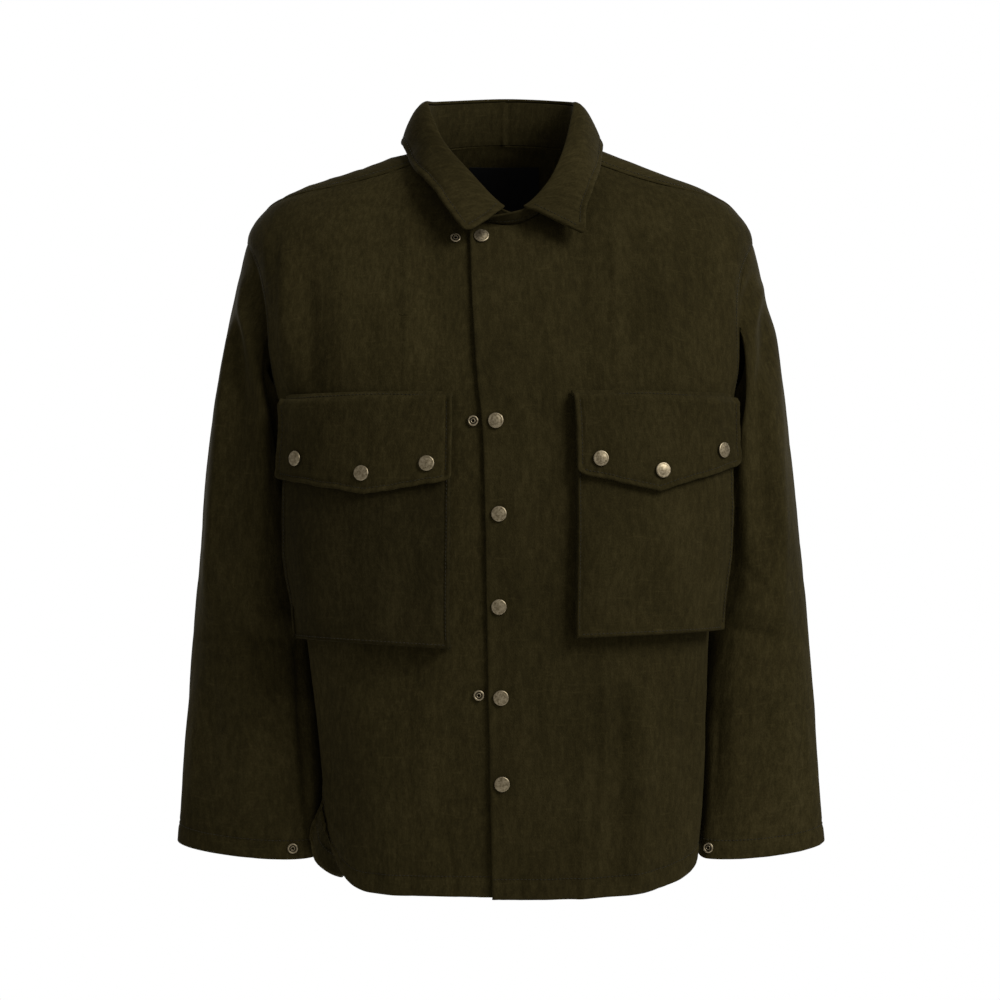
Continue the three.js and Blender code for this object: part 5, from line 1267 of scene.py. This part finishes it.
def collar_leaf():
    rough = leaf_point(np.linspace(12, 351, 60)[None, :], np.linspace(0, 1, 24)[:, None])
    depth = along(rough, 0)[-1].mean()
    downs = steps_from(depth, 1.9)
    # equal steps along the leaf at its outer edge
    fine = np.linspace(12, 351, 400)
    edge = leaf_point(fine, np.full(400, 0.75))
    run0 = np.concatenate([[0], np.cumsum(np.linalg.norm(np.diff(edge, axis=0), axis=-1))])
    turns = np.interp(steps_from(run0[-1], 2.3) * run0[-1], run0, fine)
    base = leaf_point(turns[None, :], downs[:, None])
    n = -normal_of(leaf_point, turns[None, :], downs[:, None], 1, 0.02)
    run, down = along(base, 1), along(base, 0)
    base = round_corner(base, run, down[-1:] - down, 9.0)
    base = round_corner(base, run[:, -1:] - run, down[-1:] - down, 10.0, last_column=True)
    base = wavy_edge(base, down[-1:] - down, ripple(run, down * 0.2, 13, 30, 707, 2), 0.7)
    run, down = along(base, 1), along(base, 0)
    from_end = np.minimum(run, run[:, -1:] - run)
    to_edge = down[-1:] - down
    d = np.minimum(from_end, to_edge)
    height = ripple(run, down, 30, 34, 700, 2) * 0.8 * smooth(down / 12)
    height += ripple(run, down, 16, 16, 704, 2) * 0.12
    # the leaves stand off the body at their edges
    height += 6.0 * smooth(1 - to_edge / 34) * smooth((turns[None, :] - 284) / 26)
    # the front edge of the left leaf lifts over the collar band
    height += 3.2 * np.exp(-(((from_end - 5) / 8) ** 2)) * (turns[None, :] < 60) * smooth(down / 20) * smooth((to_edge + 6) / 14)
    calm = 1 - 0.7 * np.exp(-(((turns[None, :] - 90) / 26) ** 2)) - 0.7 * np.exp(-(((turns[None, :] - 270) / 26) ** 2))
    calm = calm * np.where(to_edge < from_end, 1.0, smooth((down - 4) / 16))
    height += seam_relief(d, np.where(to_edge < from_end, run, down + 900), 701, LEAF_STITCH, 1.7, 1.15, 1.8, 0.85) * smooth((24 - d) / 8) * calm
    # the leaf's points turn up a little at their tips
    tip = np.exp(-((to_edge / 16) ** 2)) * np.exp(-((from_end / 16) ** 2))
    height += 0.7 * tip
    outer = base + n * height[..., None]
    normals = grid_normals(outer)
    if np.mean(np.sum(normals * n, -1)) < 0:
        normals = -normals
    thick = np.full(base.shape[:2], DOUBLE) + 0.5 * smooth((LEAF_STITCH - d) / 3)
    nearest = np.minimum(from_end, np.minimum(down, to_edge))
    loss = thick * (1 - pinch(nearest, thick)) / 2
    shell = Shell("collar_leaf", outer - normals * loss[..., None], outer - normals * (thick - loss)[..., None], normals=normals)
    rows_at = at_distance(down, down[-1] - LEAF_STITCH, 0)
    inside = (run[-1] > LEAF_STITCH) & (run[-1] < run[-1, -1] - LEAF_STITCH)
    columns = np.arange(len(turns))[inside]
    stitch_run(shell, rows_at[columns], columns)
    rows = np.arange(8, len(downs))
    rows = rows[to_edge[rows, 0] > LEAF_STITCH]
    stitch_run(shell, rows, at_distance(run[rows], LEAF_STITCH, 1))
    stitch_run(shell, rows, at_distance(run[rows], run[rows, -1] - LEAF_STITCH, 1))
    return shell


for maker, node in ((collar_stand, "collar_stand"), (collar_leaf, "collar_leaf")):
    shell = maker()
    obj = shell.mesh([WOOL[node]])
    obj.name = f"cloth_{node}"
    finish_piece(obj, "wool", node, node)
    print("area", node, round(shell.area() / 1e6, 4))

# ---------------------------------------------------------------- pockets and flaps
POCKET_LINES = {
    "right": [
        ([(300, 490, 8, 0), (303, 540, 10, 1.6), (312, 600, 11, 2.0), (322, 640, 9, 0.8)], 0.0),
        ([(352, 498, 14, 0), (350, 550, 16, -1.8), (346, 610, 15, -1.5), (344, 645, 10, 0)], 0.0),
        ([(392, 500, 10, 0), (386, 560, 12, 1.7), (374, 620, 12, 1.6), (368, 648, 9, 0)], 0.0),
        ([(417, 530, 9, 0), (410, 585, 12, -2.6), (398, 636, 10, -1.2), (394, 648, 8, 0)], 0.0),
        ([(436, 560, 6, 0), (434, 610, 7, 1.2), (431, 645, 6, 0)], 0.0),
        ([(318, 636, 3, 0), (321, 645, 3.4, 1.0), (324, 650, 3, 0.5)], 0.0),
    ],
    "left": [
        ([(598, 486, 10, 0), (597, 550, 12, 1.6), (600, 620, 11, 1.2), (602, 640, 9, 0)], 0.0),
        ([(630, 500, 12, 0), (632, 560, 13, -1.6), (634, 636, 10, 0)], 0.0),
        ([(664, 500, 10, 0), (668, 560, 12, 1.8), (670, 632, 10, 0.4)], 0.0),
        ([(704, 490, 8, 0), (706, 550, 10, -2.2), (700, 626, 9, -0.6)], 0.0),
        ([(720, 500, 5, 0), (719, 560, 6, 1.4), (716, 622, 5, 0.4)], 0.0),
    ],
}


def pocket(name):
    pocket_ = POCKETS[name]
    side = pocket_["side"]
    seed = 800 if side > 0 else 900
    wide, tall = 163.0, 222.0
    # where a column stands: part of the width, how far up the gusset, and how far the fold of the
    # gusset lies in behind the face
    gusset = [(0.0, 0.00, 0.0), (0.0, 0.12, 0.25), (0.0, 0.26, 0.62), (0.0, 0.40, 0.92), (0.0, 0.52, 1.0),
              (0.0, 0.64, 0.88), (0.0, 0.77, 0.55), (0.0, 0.88, 0.22), (0.0, 0.95, 0.04), (0.004, 0.985, 0.0),
              (0.009, 1.0, 0.0)]
    face = np.linspace(0.016, 0.984, 78)
    columns = gusset + [(v, 1.0, 0.0) for v in face] + [(1 - a, b, c) for a, b, c in reversed(gusset)]
    rows = [(v, 1.0, 0.0) for v in np.concatenate([[0.0, 0.001, 0.003, 0.006], np.linspace(0.012, 0.985, 104)])]
    rows += [(1 - a * 0.8, b, c) for a, b, c in reversed(gusset)]
    across = np.array([c[0] for c in columns])[None, :]
    rise_c = np.array([c[1] for c in columns])[None, :]
    fold_c = np.array([c[2] for c in columns])[None, :]
    down = np.array([r[0] for r in rows])[:, None]
    rise_r = np.array([r[1] for r in rows])[:, None]
    fold_r = np.array([r[2] for r in rows])[:, None]
    rise = np.minimum(rise_c, rise_r)
    across, down = np.broadcast_arrays(across, down)
    depth = pocket_depth(pocket_, across, down)
    # the gusset folds in behind the face; at the outer foot it stands out and shows
    tuck = 0.30 * depth
    shows = smooth((down - 0.62) / 0.3) * (across > 0.5)
    left = (across < 0.5)
    inward = tuck * fold_c * (1 - shows * (1.0 if side < 0 else 0.5)) / wide
    upward = tuck * fold_r * 0.8 / tall
    # the face stops short of the gusset at the outer foot
    short = shows * rise_c ** 2 * (0.078 if side < 0 else 0.035) * (across > 0.5)
    across2 = across + np.where(left, inward, -inward) - short * smooth((across - 0.9) / 0.1)
    down2 = down - upward
    p, n = pocket_frame(pocket_, across2, down2)
    off = 0.8 + rise * depth + CLOTH
    base = p + n * off[..., None]
    x, y = seen(base)
    flat = (rise_c >= 1) & (rise_r >= 1)
    from_in = np.maximum(across, 0) * wide
    from_out = (1 - across) * wide
    from_foot = (1 - down) * tall
    d = np.minimum(np.minimum(from_in, from_out), from_foot)
    line_at = np.where(from_foot <= np.minimum(from_in, from_out), from_in, down * tall + 700)
    height = fold_lines(x, y, POCKET_LINES[name]) * smooth((d - 3) / 12)
    height += ripple(from_in, down * tall, 30, 52, seed, 2) * 1.1 * smooth(d / 12)
    height += ripple(from_in, down * tall, 14, 18, seed + 2, 2) * 0.3
    height += np.where(flat, seam_relief(d, line_at, seed + 4, 4.2, 1.1, 0.8, 1.4, 0.6) * smooth((16 - d) / 5), 0)
    outer = base + n * height[..., None]
    normals = grid_normals(outer)
    if np.mean(np.sum(normals * n, -1)) < 0:
        normals = -normals
    thick = np.where(flat, CLOTH, 1.1)
    thick = np.where(rise < 0.2, 0.9, thick)
    mouth = down * tall
    keep = pinch(mouth, CLOTH)
    loss = thick * (1 - keep) / 2
    shell = Shell(f"pocket_{name}", outer - normals * loss[..., None], outer - normals * (thick - loss)[..., None], normals=normals)
    first, last = len(gusset), len(columns) - len(gusset) - 1
    row_index = np.arange(2, len(rows) - len(gusset) - 2)
    col_of = lambda part: np.interp(part, across[0, first:last + 1], np.arange(first, last + 1))
    stitch_run(shell, row_index, np.full(len(row_index), col_of(3.4 / wide)))
    stitch_run(shell, row_index, np.full(len(row_index), col_of(1 - 3.4 / wide)))
    col_index = np.arange(first + 1, last)
    row_at = np.interp(1 - 3.4 / tall, down[4:len(rows) - len(gusset), 0], np.arange(4, len(rows) - len(gusset)))
    stitch_run(shell, np.full(len(col_index), row_at), col_index)
    return shell


FLAP_STITCH = 6.0
FLAP_LINES = {
    "right": [
        ([(320, 412, 8, 0), (322, 436, 10, 1.3), (324, 474, 8, 0)], 0.0),
        ([(366, 410, 8, 0), (366, 434, 9, -1.4), (368, 470, 7, 0)], 0.0),
        ([(398, 412, 9, 0), (400, 440, 10, 1.0), (398, 474, 8, 0)], 0.0),
        ([(286, 408, 4, 0), (284, 436, 5, -1.2), (283, 468, 4, 0)], 0.0),
    ],
    "left": [
        ([(612, 408, 9, 0), (612, 434, 10, 1.2), (614, 470, 8, 0)], 0.0),
        ([(642, 406, 8, 0), (642, 436, 9, -1.2), (644, 474, 7, 0)], 0.0),
        ([(690, 406, 9, 0), (692, 436, 10, 1.2), (690, 476, 8, 0)], 0.0),
        ([(727, 404, 5, 0), (728, 430, 6, -1.0), (730, 462, 5, 0)], 0.0),
    ],
}
flap_snap_place = {}


def flap(name):
    side = FLAPS[name]["side"]
    seed = 1000 if side > 0 else 1100
    across = steps_from(168.0, 1.9)
    # a column on the point itself keeps the flap's point crisp
    across[np.argmin(np.abs(across - 0.5))] = 0.5
    downs = steps_from(88.0, 1.8)
    base = flap_shape(name, across[None, :], downs[:, None])
    surface = lambda a, b: flap_shape(name, a, b)
    n = normal_of(surface, across[None, :] + 0 * downs[:, None], downs[:, None] + 0 * across[None, :], 0.01, 0.01, -side)
    run, down = along(base, 1), along(base, 0)
    base = round_corner(base, run, down[-1:] - down, 7.0)
    base = round_corner(base, run[:, -1:] - run, down[-1:] - down, 9.0, last_column=True)
    base = round_corner(base, run[:, -1:] - run, down, 11.0, last_column=True, last_row=False)
    base = wavy_edge(base, down[-1:] - down, ripple(run, down * 0.2, 11, 30, seed + 9, 2), 0.9)
    run, down = along(base, 1), along(base, 0)
    from_end = np.minimum(run, run[:, -1:] - run)
    to_foot = down[-1:] - down
    x, y = seen(base)
    places = []
    for a, b in FLAP_SNAPS:
        q = flap_shape(name, np.array(a), np.array(b))
        m = normal_of(surface, np.array(a), np.array(b), 0.01, 0.01, -side)
        places.append((q + m * 0.7, m))
    flap_snap_place[name] = places
    d = np.minimum(from_end, to_foot)
    height = fold_lines(x, y, FLAP_LINES[name]) * smooth((d - 2) / 8)
    height += ripple(run, down, 26, 30, seed, 2) * 0.7 * smooth(down / 14)
    height += ripple(run, down, 11, 12, seed + 2, 2) * 0.25
    line_at = np.where(to_foot < from_end, run, down + 900)
    height += seam_relief(d, line_at, seed + 3, FLAP_STITCH, 1.5, 1.1, 1.7, 0.85) * smooth((22 - d) / 8) * smooth((down - 6) / 4)
    # the fold along the top and the line that holds it down
    height += 1.5 * np.exp(-(((down - 2.0) / 1.6) ** 2)) - 1.7 * np.exp(-(((down - 5.0) / 1.3) ** 2)) + 1.7 * np.exp(-(((down - 8.2) / 1.7) ** 2))
    height += ripple(run, down * 0.3, 9, 9, seed + 5, 2) * 0.3 * np.exp(-(((down - 7) / 6) ** 2))
    fade, dimple = press_in(base, [q - m * 0.7 for q, m in places], 0.6, 11.0)
    height = height * (0.3 + 0.7 * fade) + dimple
    outer = base + n * height[..., None]
    normals = grid_normals(outer)
    if np.mean(np.sum(normals * n, -1)) < 0:
        normals = -normals
    thick = np.full(base.shape[:2], DOUBLE) + 0.4 * smooth((FLAP_STITCH - d) / 3)
    thick = thick - 0.9 * np.exp(-(((down - 5.0) / 2.4) ** 2))
    nearest = np.minimum(from_end, np.minimum(down, to_foot))
    loss = thick * (1 - pinch(nearest, thick)) / 2
    shell = Shell(f"flap_{name}", outer - normals * loss[..., None], outer - normals * (thick - loss)[..., None], normals=normals)
    columns = np.arange(4, len(across) - 4)
    stitch_run(shell, at_distance(down, 5.0, 0)[columns], columns)
    keep = columns[(run[-1, columns] > FLAP_STITCH) & (run[-1, columns] < run[-1, -1] - FLAP_STITCH)]
    stitch_run(shell, at_distance(down, down[-1] - FLAP_STITCH, 0)[keep], keep)
    rows = np.arange(len(downs))
    rows = rows[(down[rows, 0] > 11) & (to_foot[rows, 0] > FLAP_STITCH)]
    stitch_run(shell, rows, at_distance(run[rows], FLAP_STITCH, 1))
    stitch_run(shell, rows, at_distance(run[rows], run[rows, -1] - FLAP_STITCH, 1))
    return shell


for name in ("left", "right"):
    shell = pocket(name)
    obj = shell.mesh([WOOL[f"pocket_{name}"]])
    obj.name = f"cloth_pocket_{name}"
    finish_piece(obj, "wool", f"pocket_{name}", f"pocket_{name}")
    print("area", obj.name, round(shell.area() / 1e6, 4))
for name in ("left", "right"):
    shell = flap(name)
    obj = shell.mesh([WOOL[f"flap_{name}"]])
    obj.name = f"cloth_flap_{name}"
    finish_piece(obj, "wool", f"flap_{name}", f"flap_{name}")
    print("area", obj.name, round(shell.area() / 1e6, 4))

# ---------------------------------------------------------------- the neck label
def neck_label():
    wide, tall = 72.0, 48.0
    across, down = steps_from(wide, 1.8, (0, 0.1, 0.3, 0.8)), steps_from(tall, 1.8, (0, 0.1, 0.3, 0.8))
    x = float(BODY("shiftX", 1.9)) + mix(wide / 2, -wide / 2, across)[None, :] + 0 * down[:, None]
    z = -20 - tall * down[:, None] + 0 * across[None, :]
    turn = np.full(x.shape, 180.0)
    for _ in range(10):
        p = body_shape(turn, level_at(turn, z))
        turn = turn + ((p[..., 0] - x) / np.maximum(40, p[..., 1])) / DEG
    level = level_at(turn, z)
    n = -body_normal(turn, level)
    run, drop = along(p, 1), along(p, 0)
    d = np.minimum(np.minimum(run, run[:, -1:] - run), np.minimum(drop, drop[-1:] - drop))
    lift = 0.35 * smooth((run / wide) * 4) * smooth((1 - run / wide) * 4) * (1 + ripple(run, drop, 20, 16, 1200, 2))
    lift = lift - 0.15 * np.exp(-(((d - 1.8) / 0.9) ** 2))
    face = body_point(turn, level) + n * (CLOTH + 1.15 + lift)[..., None]
    loss = 0.6 * (1 - pinch(d, 0.6)) / 2
    return Shell("neck_label", face - n * loss[..., None], face - n * (0.6 - loss)[..., None], normals=n)


shell = neck_label()
obj = shell.mesh([SATIN])
obj.name = "label"
finish_piece(obj, "label", "neck_label", "neck_label")

# ---------------------------------------------------------------- stitching
def stitch_mesh(lines, pitch=3.7, length=2.9, width=0.62, rise=0.34):
    verts, faces, tri = [], [], []
    base = 0
    ring_of = np.array([(-1, 0.05), (-0.55, 0.85), (0.55, 0.85), (1, 0.05), (0, -0.7)])
    for point, normal in lines:
        step = np.linalg.norm(np.diff(point, axis=0), axis=-1)
        run = np.concatenate([[0], np.cumsum(step)])
        count = int(run[-1] // pitch)
        if count < 2:
            continue
        starts = (run[-1] - count * pitch) / 2 + pitch * np.arange(count) + (pitch - length) / 2
        at = starts[:, None] + np.array([0.0, 0.3, 0.7, 1.0])[None, :] * length
        q = np.stack([np.interp(at, run, point[:, k]) for k in range(3)], -1)
        m = unit(np.stack([np.interp(at, run, normal[:, k]) for k in range(3)], -1))
        forward = unit(q[:, -1:] - q[:, :1])
        side = unit(np.cross(m, forward))
        lift = np.array([-0.25, 1.0, 1.0, -0.25])[None, :, None, None]
        wide = np.array([0.45, 1.0, 1.0, 0.45])[None, :, None, None]
        ring = q[:, :, None] + side[:, :, None] * ring_of[None, None, :, :1] * wide * width / 2
        ring = ring + m[:, :, None] * (ring_of[None, None, :, 1:] * width * 0.5 + (lift - 0.2) * rise)
        verts.append(ring.reshape(-1, 3))
        k = np.arange(5)
        one = []
        for j in range(3):
            one.append(np.stack([j * 5 + k, j * 5 + (k + 1) % 5, (j + 1) * 5 + (k + 1) % 5, (j + 1) * 5 + k], 1))
        one = np.concatenate(one)
        block = one[None] + (np.arange(count) * 20)[:, None, None] + base
        faces.append(block.reshape(-1, 4))
        cap_a = np.array([[0, 3, 2, 1], [15, 16, 17, 18]])
        faces.append((cap_a[None] + (np.arange(count) * 20)[:, None, None] + base).reshape(-1, 4))
        tri.append((np.array([[0, 4, 3], [15, 18, 19]])[None] + (np.arange(count) * 20)[:, None, None] + base).reshape(-1, 3))
        base += count * 20
    return np.concatenate(verts), np.concatenate(faces), np.concatenate(tri)


verts, quads, tris = stitch_mesh(stitches)
mesh = bpy.data.meshes.new("stitching")
mesh.from_pydata((verts * MM).tolist(), [], quads.tolist() + tris.tolist())
mesh.polygons.foreach_set("use_smooth", np.ones(len(mesh.polygons), bool))
mesh.update()
mesh.validate()
stitch_obj = bpy.data.objects.new("stitching", mesh)
bpy.context.scene.collection.objects.link(stitch_obj)
mesh.materials.append(THREAD)
finish_piece(stitch_obj, "wool")

# ---------------------------------------------------------------- snaps
def turned(name, profile, place, normal, materials, split=None, sides=56):
    """A piece turned about an axis that stands on a surface: profile is (radius, height) in mm."""
    profile = np.array(profile, float)
    angle = np.arange(sides) * 2 * math.pi / sides
    z = np.asarray(normal, float)
    x = unit(np.cross([0.0, 0.0, 1.0], z) if abs(z[2]) < 0.95 else np.cross([1.0, 0.0, 0.0], z))
    y = np.cross(z, x)
    verts, faces, kinds = [], [], []
    rings = []
    for r, h in profile:
        if r < 1e-6:
            rings.append((len(verts), 1))
            verts.append(place + z * h)
        else:
            rings.append((len(verts), sides))
            verts.extend(list(place + z * h + r * (np.cos(t) * x + np.sin(t) * y)) for t in angle)
    closed = list(zip(range(len(profile)), list(range(1, len(profile))) + [0]))
    if profile[0][0] < 1e-6 and profile[-1][0] < 1e-6:
        closed = closed[:-1]
    for i, j in closed:
        (a, na), (b, nb) = rings[i], rings[j]
        for k in range(sides):
            k1 = (k + 1) % sides
            if na == 1:
                faces.append((a, b + k1, b + k))
            elif nb == 1:
                faces.append((a + k, a + k1, b))
            else:
                faces.append((a + k, a + k1, b + k1, b + k))
            kinds.append(1 if split and split(i) else 0)
    mesh = bpy.data.meshes.new(name)
    mesh.from_pydata([[float(c) * MM for c in v] for v in verts], [], faces)
    for material in materials:
        mesh.materials.append(material)
    mesh.polygons.foreach_set("material_index", kinds)
    mesh.polygons.foreach_set("use_smooth", np.ones(len(faces), bool))
    mesh.update()
    mesh.validate()
    obj = bpy.data.objects.new(name, mesh)
    bpy.context.scene.collection.objects.link(obj)
    return obj


# radius and height: a rolled rim, a shallow ring and a low dome in the middle
CAP = [(0, -0.9), (5.6, -0.9), (6.6, -0.55), (7.15, 0.1), (7.4, 0.75), (7.35, 1.25), (7.05, 1.65), (6.6, 1.85),
       (6.1, 1.88), (5.7, 1.86), (5.2, 1.92), (4.2, 2.12), (3.0, 2.3), (1.6, 2.42), (0.7, 2.46), (0, 2.47)]
RING = [(1.1, -0.6), (4.6, -0.6), (5.05, -0.1), (5.2, 0.5), (5.05, 1.1), (4.6, 1.5), (4.1, 1.6), (3.65, 1.45),
        (3.35, 1.0), (3.2, 0.45), (2.9, 0.3), (2.55, 0.34), (2.35, 0.6), (2.25, 1.05), (2.0, 1.3), (1.7, 1.3), (1.45, 1.05),
        (1.3, 0.5)]
for i, (p, n) in enumerate(front_snap_place):
    obj = turned(f"snap_cap_front_{i + 1}", CAP, p, n, [BRASS])
    finish_piece(obj, "snap", f"snap_front_{i + 1}")
for name, places in flap_snap_place.items():
    for i, (p, n) in enumerate(places):
        obj = turned(f"snap_cap_flap_{name}_{i + 1}", CAP, p, n, [BRASS])
        finish_piece(obj, "snap", f"snap_flap_{name}_{i + 1}")
inside_ring = lambda i: 8 <= i <= 12 or i >= 16
for i, (p, n) in enumerate(front_stud_place):
    obj = turned(f"stud_ring_front_{i + 1}", RING, p, n, [BRASS, BRASS_DARK], inside_ring)
    finish_piece(obj, "snap", f"stud_front_{i + 1}")
for name, side in (("left", 1), ("right", -1)):
    a, s = np.array(CUFF_STUD[side][0]), np.array(CUFF_STUD[side][1])
    p = sleeve_point(side, a, s)[0]
    n = normal_of(lambda u, v: sleeve_point(side, u, v)[0], a, s, 3, 0.006, side)
    obj = turned(f"stud_ring_cuff_{name}", RING, p + n * 0.6, n, [BRASS, BRASS_DARK], inside_ring)
    finish_piece(obj, "snap", f"stud_cuff_{name}")

# ---------------------------------------------------------------- floor, light and world
# The floor is where a wearer of this height would stand. It fades out towards its rim.
FLOOR_Z, FLOOR_REACH = -1.5, 3.1
material, tree, shader = nodes_of("floor_pale")
out = [n for n in tree.nodes if n.type == "OUTPUT_MATERIAL"][0]
coord = tree.nodes.new("ShaderNodeTexCoord")
grain = noise(tree, coord.outputs["Object"], 30, 3, 0.5)
tree.links.new(ramp(tree, grain, [(0.3, (0.80, 0.80, 0.79)), (0.7, (0.84, 0.84, 0.83))]), shader.inputs["Base Color"])
shader.inputs["Roughness"].default_value = 0.9
distance = tree.nodes.new("ShaderNodeVectorMath")
distance.operation = "LENGTH"
tree.links.new(coord.outputs["Object"], distance.inputs[0])
fade = tree.nodes.new("ShaderNodeMapRange")
fade.interpolation_type = "SMOOTHSTEP"
fade.inputs["From Min"].default_value, fade.inputs["From Max"].default_value = 0.6, FLOOR_REACH - 0.15
tree.links.new(distance.outputs["Value"], fade.inputs["Value"])
clear = tree.nodes.new("ShaderNodeBsdfTransparent")
both = tree.nodes.new("ShaderNodeMixShader")
tree.links.new(fade.outputs["Result"], both.inputs[0])
tree.links.new(shader.outputs[0], both.inputs[1])
tree.links.new(clear.outputs[0], both.inputs[2])
tree.links.new(both.outputs[0], out.inputs[0])
mesh = bpy.data.meshes.new("floor")
rim = [(FLOOR_REACH * math.cos(k * math.pi / 36), FLOOR_REACH * math.sin(k * math.pi / 36), 0.0) for k in range(72)]
mesh.from_pydata(rim, [], [tuple(range(72))])
mesh.materials.append(material)
floor = bpy.data.objects.new("floor", mesh)
floor.location = (0.0, 0.0, FLOOR_Z)
bpy.context.scene.collection.objects.link(floor)


def area_light(name, at, aim, size, power, colour=(1, 1, 1)):
    light = bpy.data.lights.new(name, "AREA")
    light.shape = "RECTANGLE"
    light.size, light.size_y = size
    light.energy = power
    light.color = colour
    obj = bpy.data.objects.new(name, light)
    bpy.context.scene.collection.objects.link(obj)
    obj.location = at
    obj.rotation_euler = (mathutils.Vector(aim) - mathutils.Vector(at)).to_track_quat("-Z", "Y").to_euler()
    return obj


# The key stands to the right of the camera and above it, wide enough for soft shadows.
area_light("key", (2.05, -1.75, 1.35), (0, 0, -0.35), (1.3, 1.3), KEY_POWER)
area_light("back_left", (-1.8, 2.4, 0.7), (0, 0, -0.35), (1.6, 1.6), 34)
area_light("back_right", (1.8, 2.2, 0.7), (0, 0, -0.35), (1.6, 1.6), 26)

world = bpy.data.worlds.new("studio")
world.use_nodes = True
tree = world.node_tree
background = tree.nodes["Background"]
background.inputs[0].default_value = (1.0, 0.985, 0.96, 1.0)
background.inputs[1].default_value = WORLD_LIGHT
white = tree.nodes.new("ShaderNodeBackground")
white.inputs[0].default_value = (1.0, 1.0, 1.0, 1.0)
white.inputs[1].default_value = 1.0
rays = tree.nodes.new("ShaderNodeLightPath")
both = tree.nodes.new("ShaderNodeMixShader")
tree.links.new(rays.outputs["Is Camera Ray"], both.inputs[0])
tree.links.new(background.outputs[0], both.inputs[1])
tree.links.new(white.outputs[0], both.inputs[2])
tree.links.new(both.outputs[0], tree.nodes["World Output"].inputs[0])
bpy.context.scene.world = world
bpy.context.scene.view_settings.view_transform = "Standard"

total = sum(len(o.data.polygons) * 2 for o in pieces.values())
print("faces about", total)
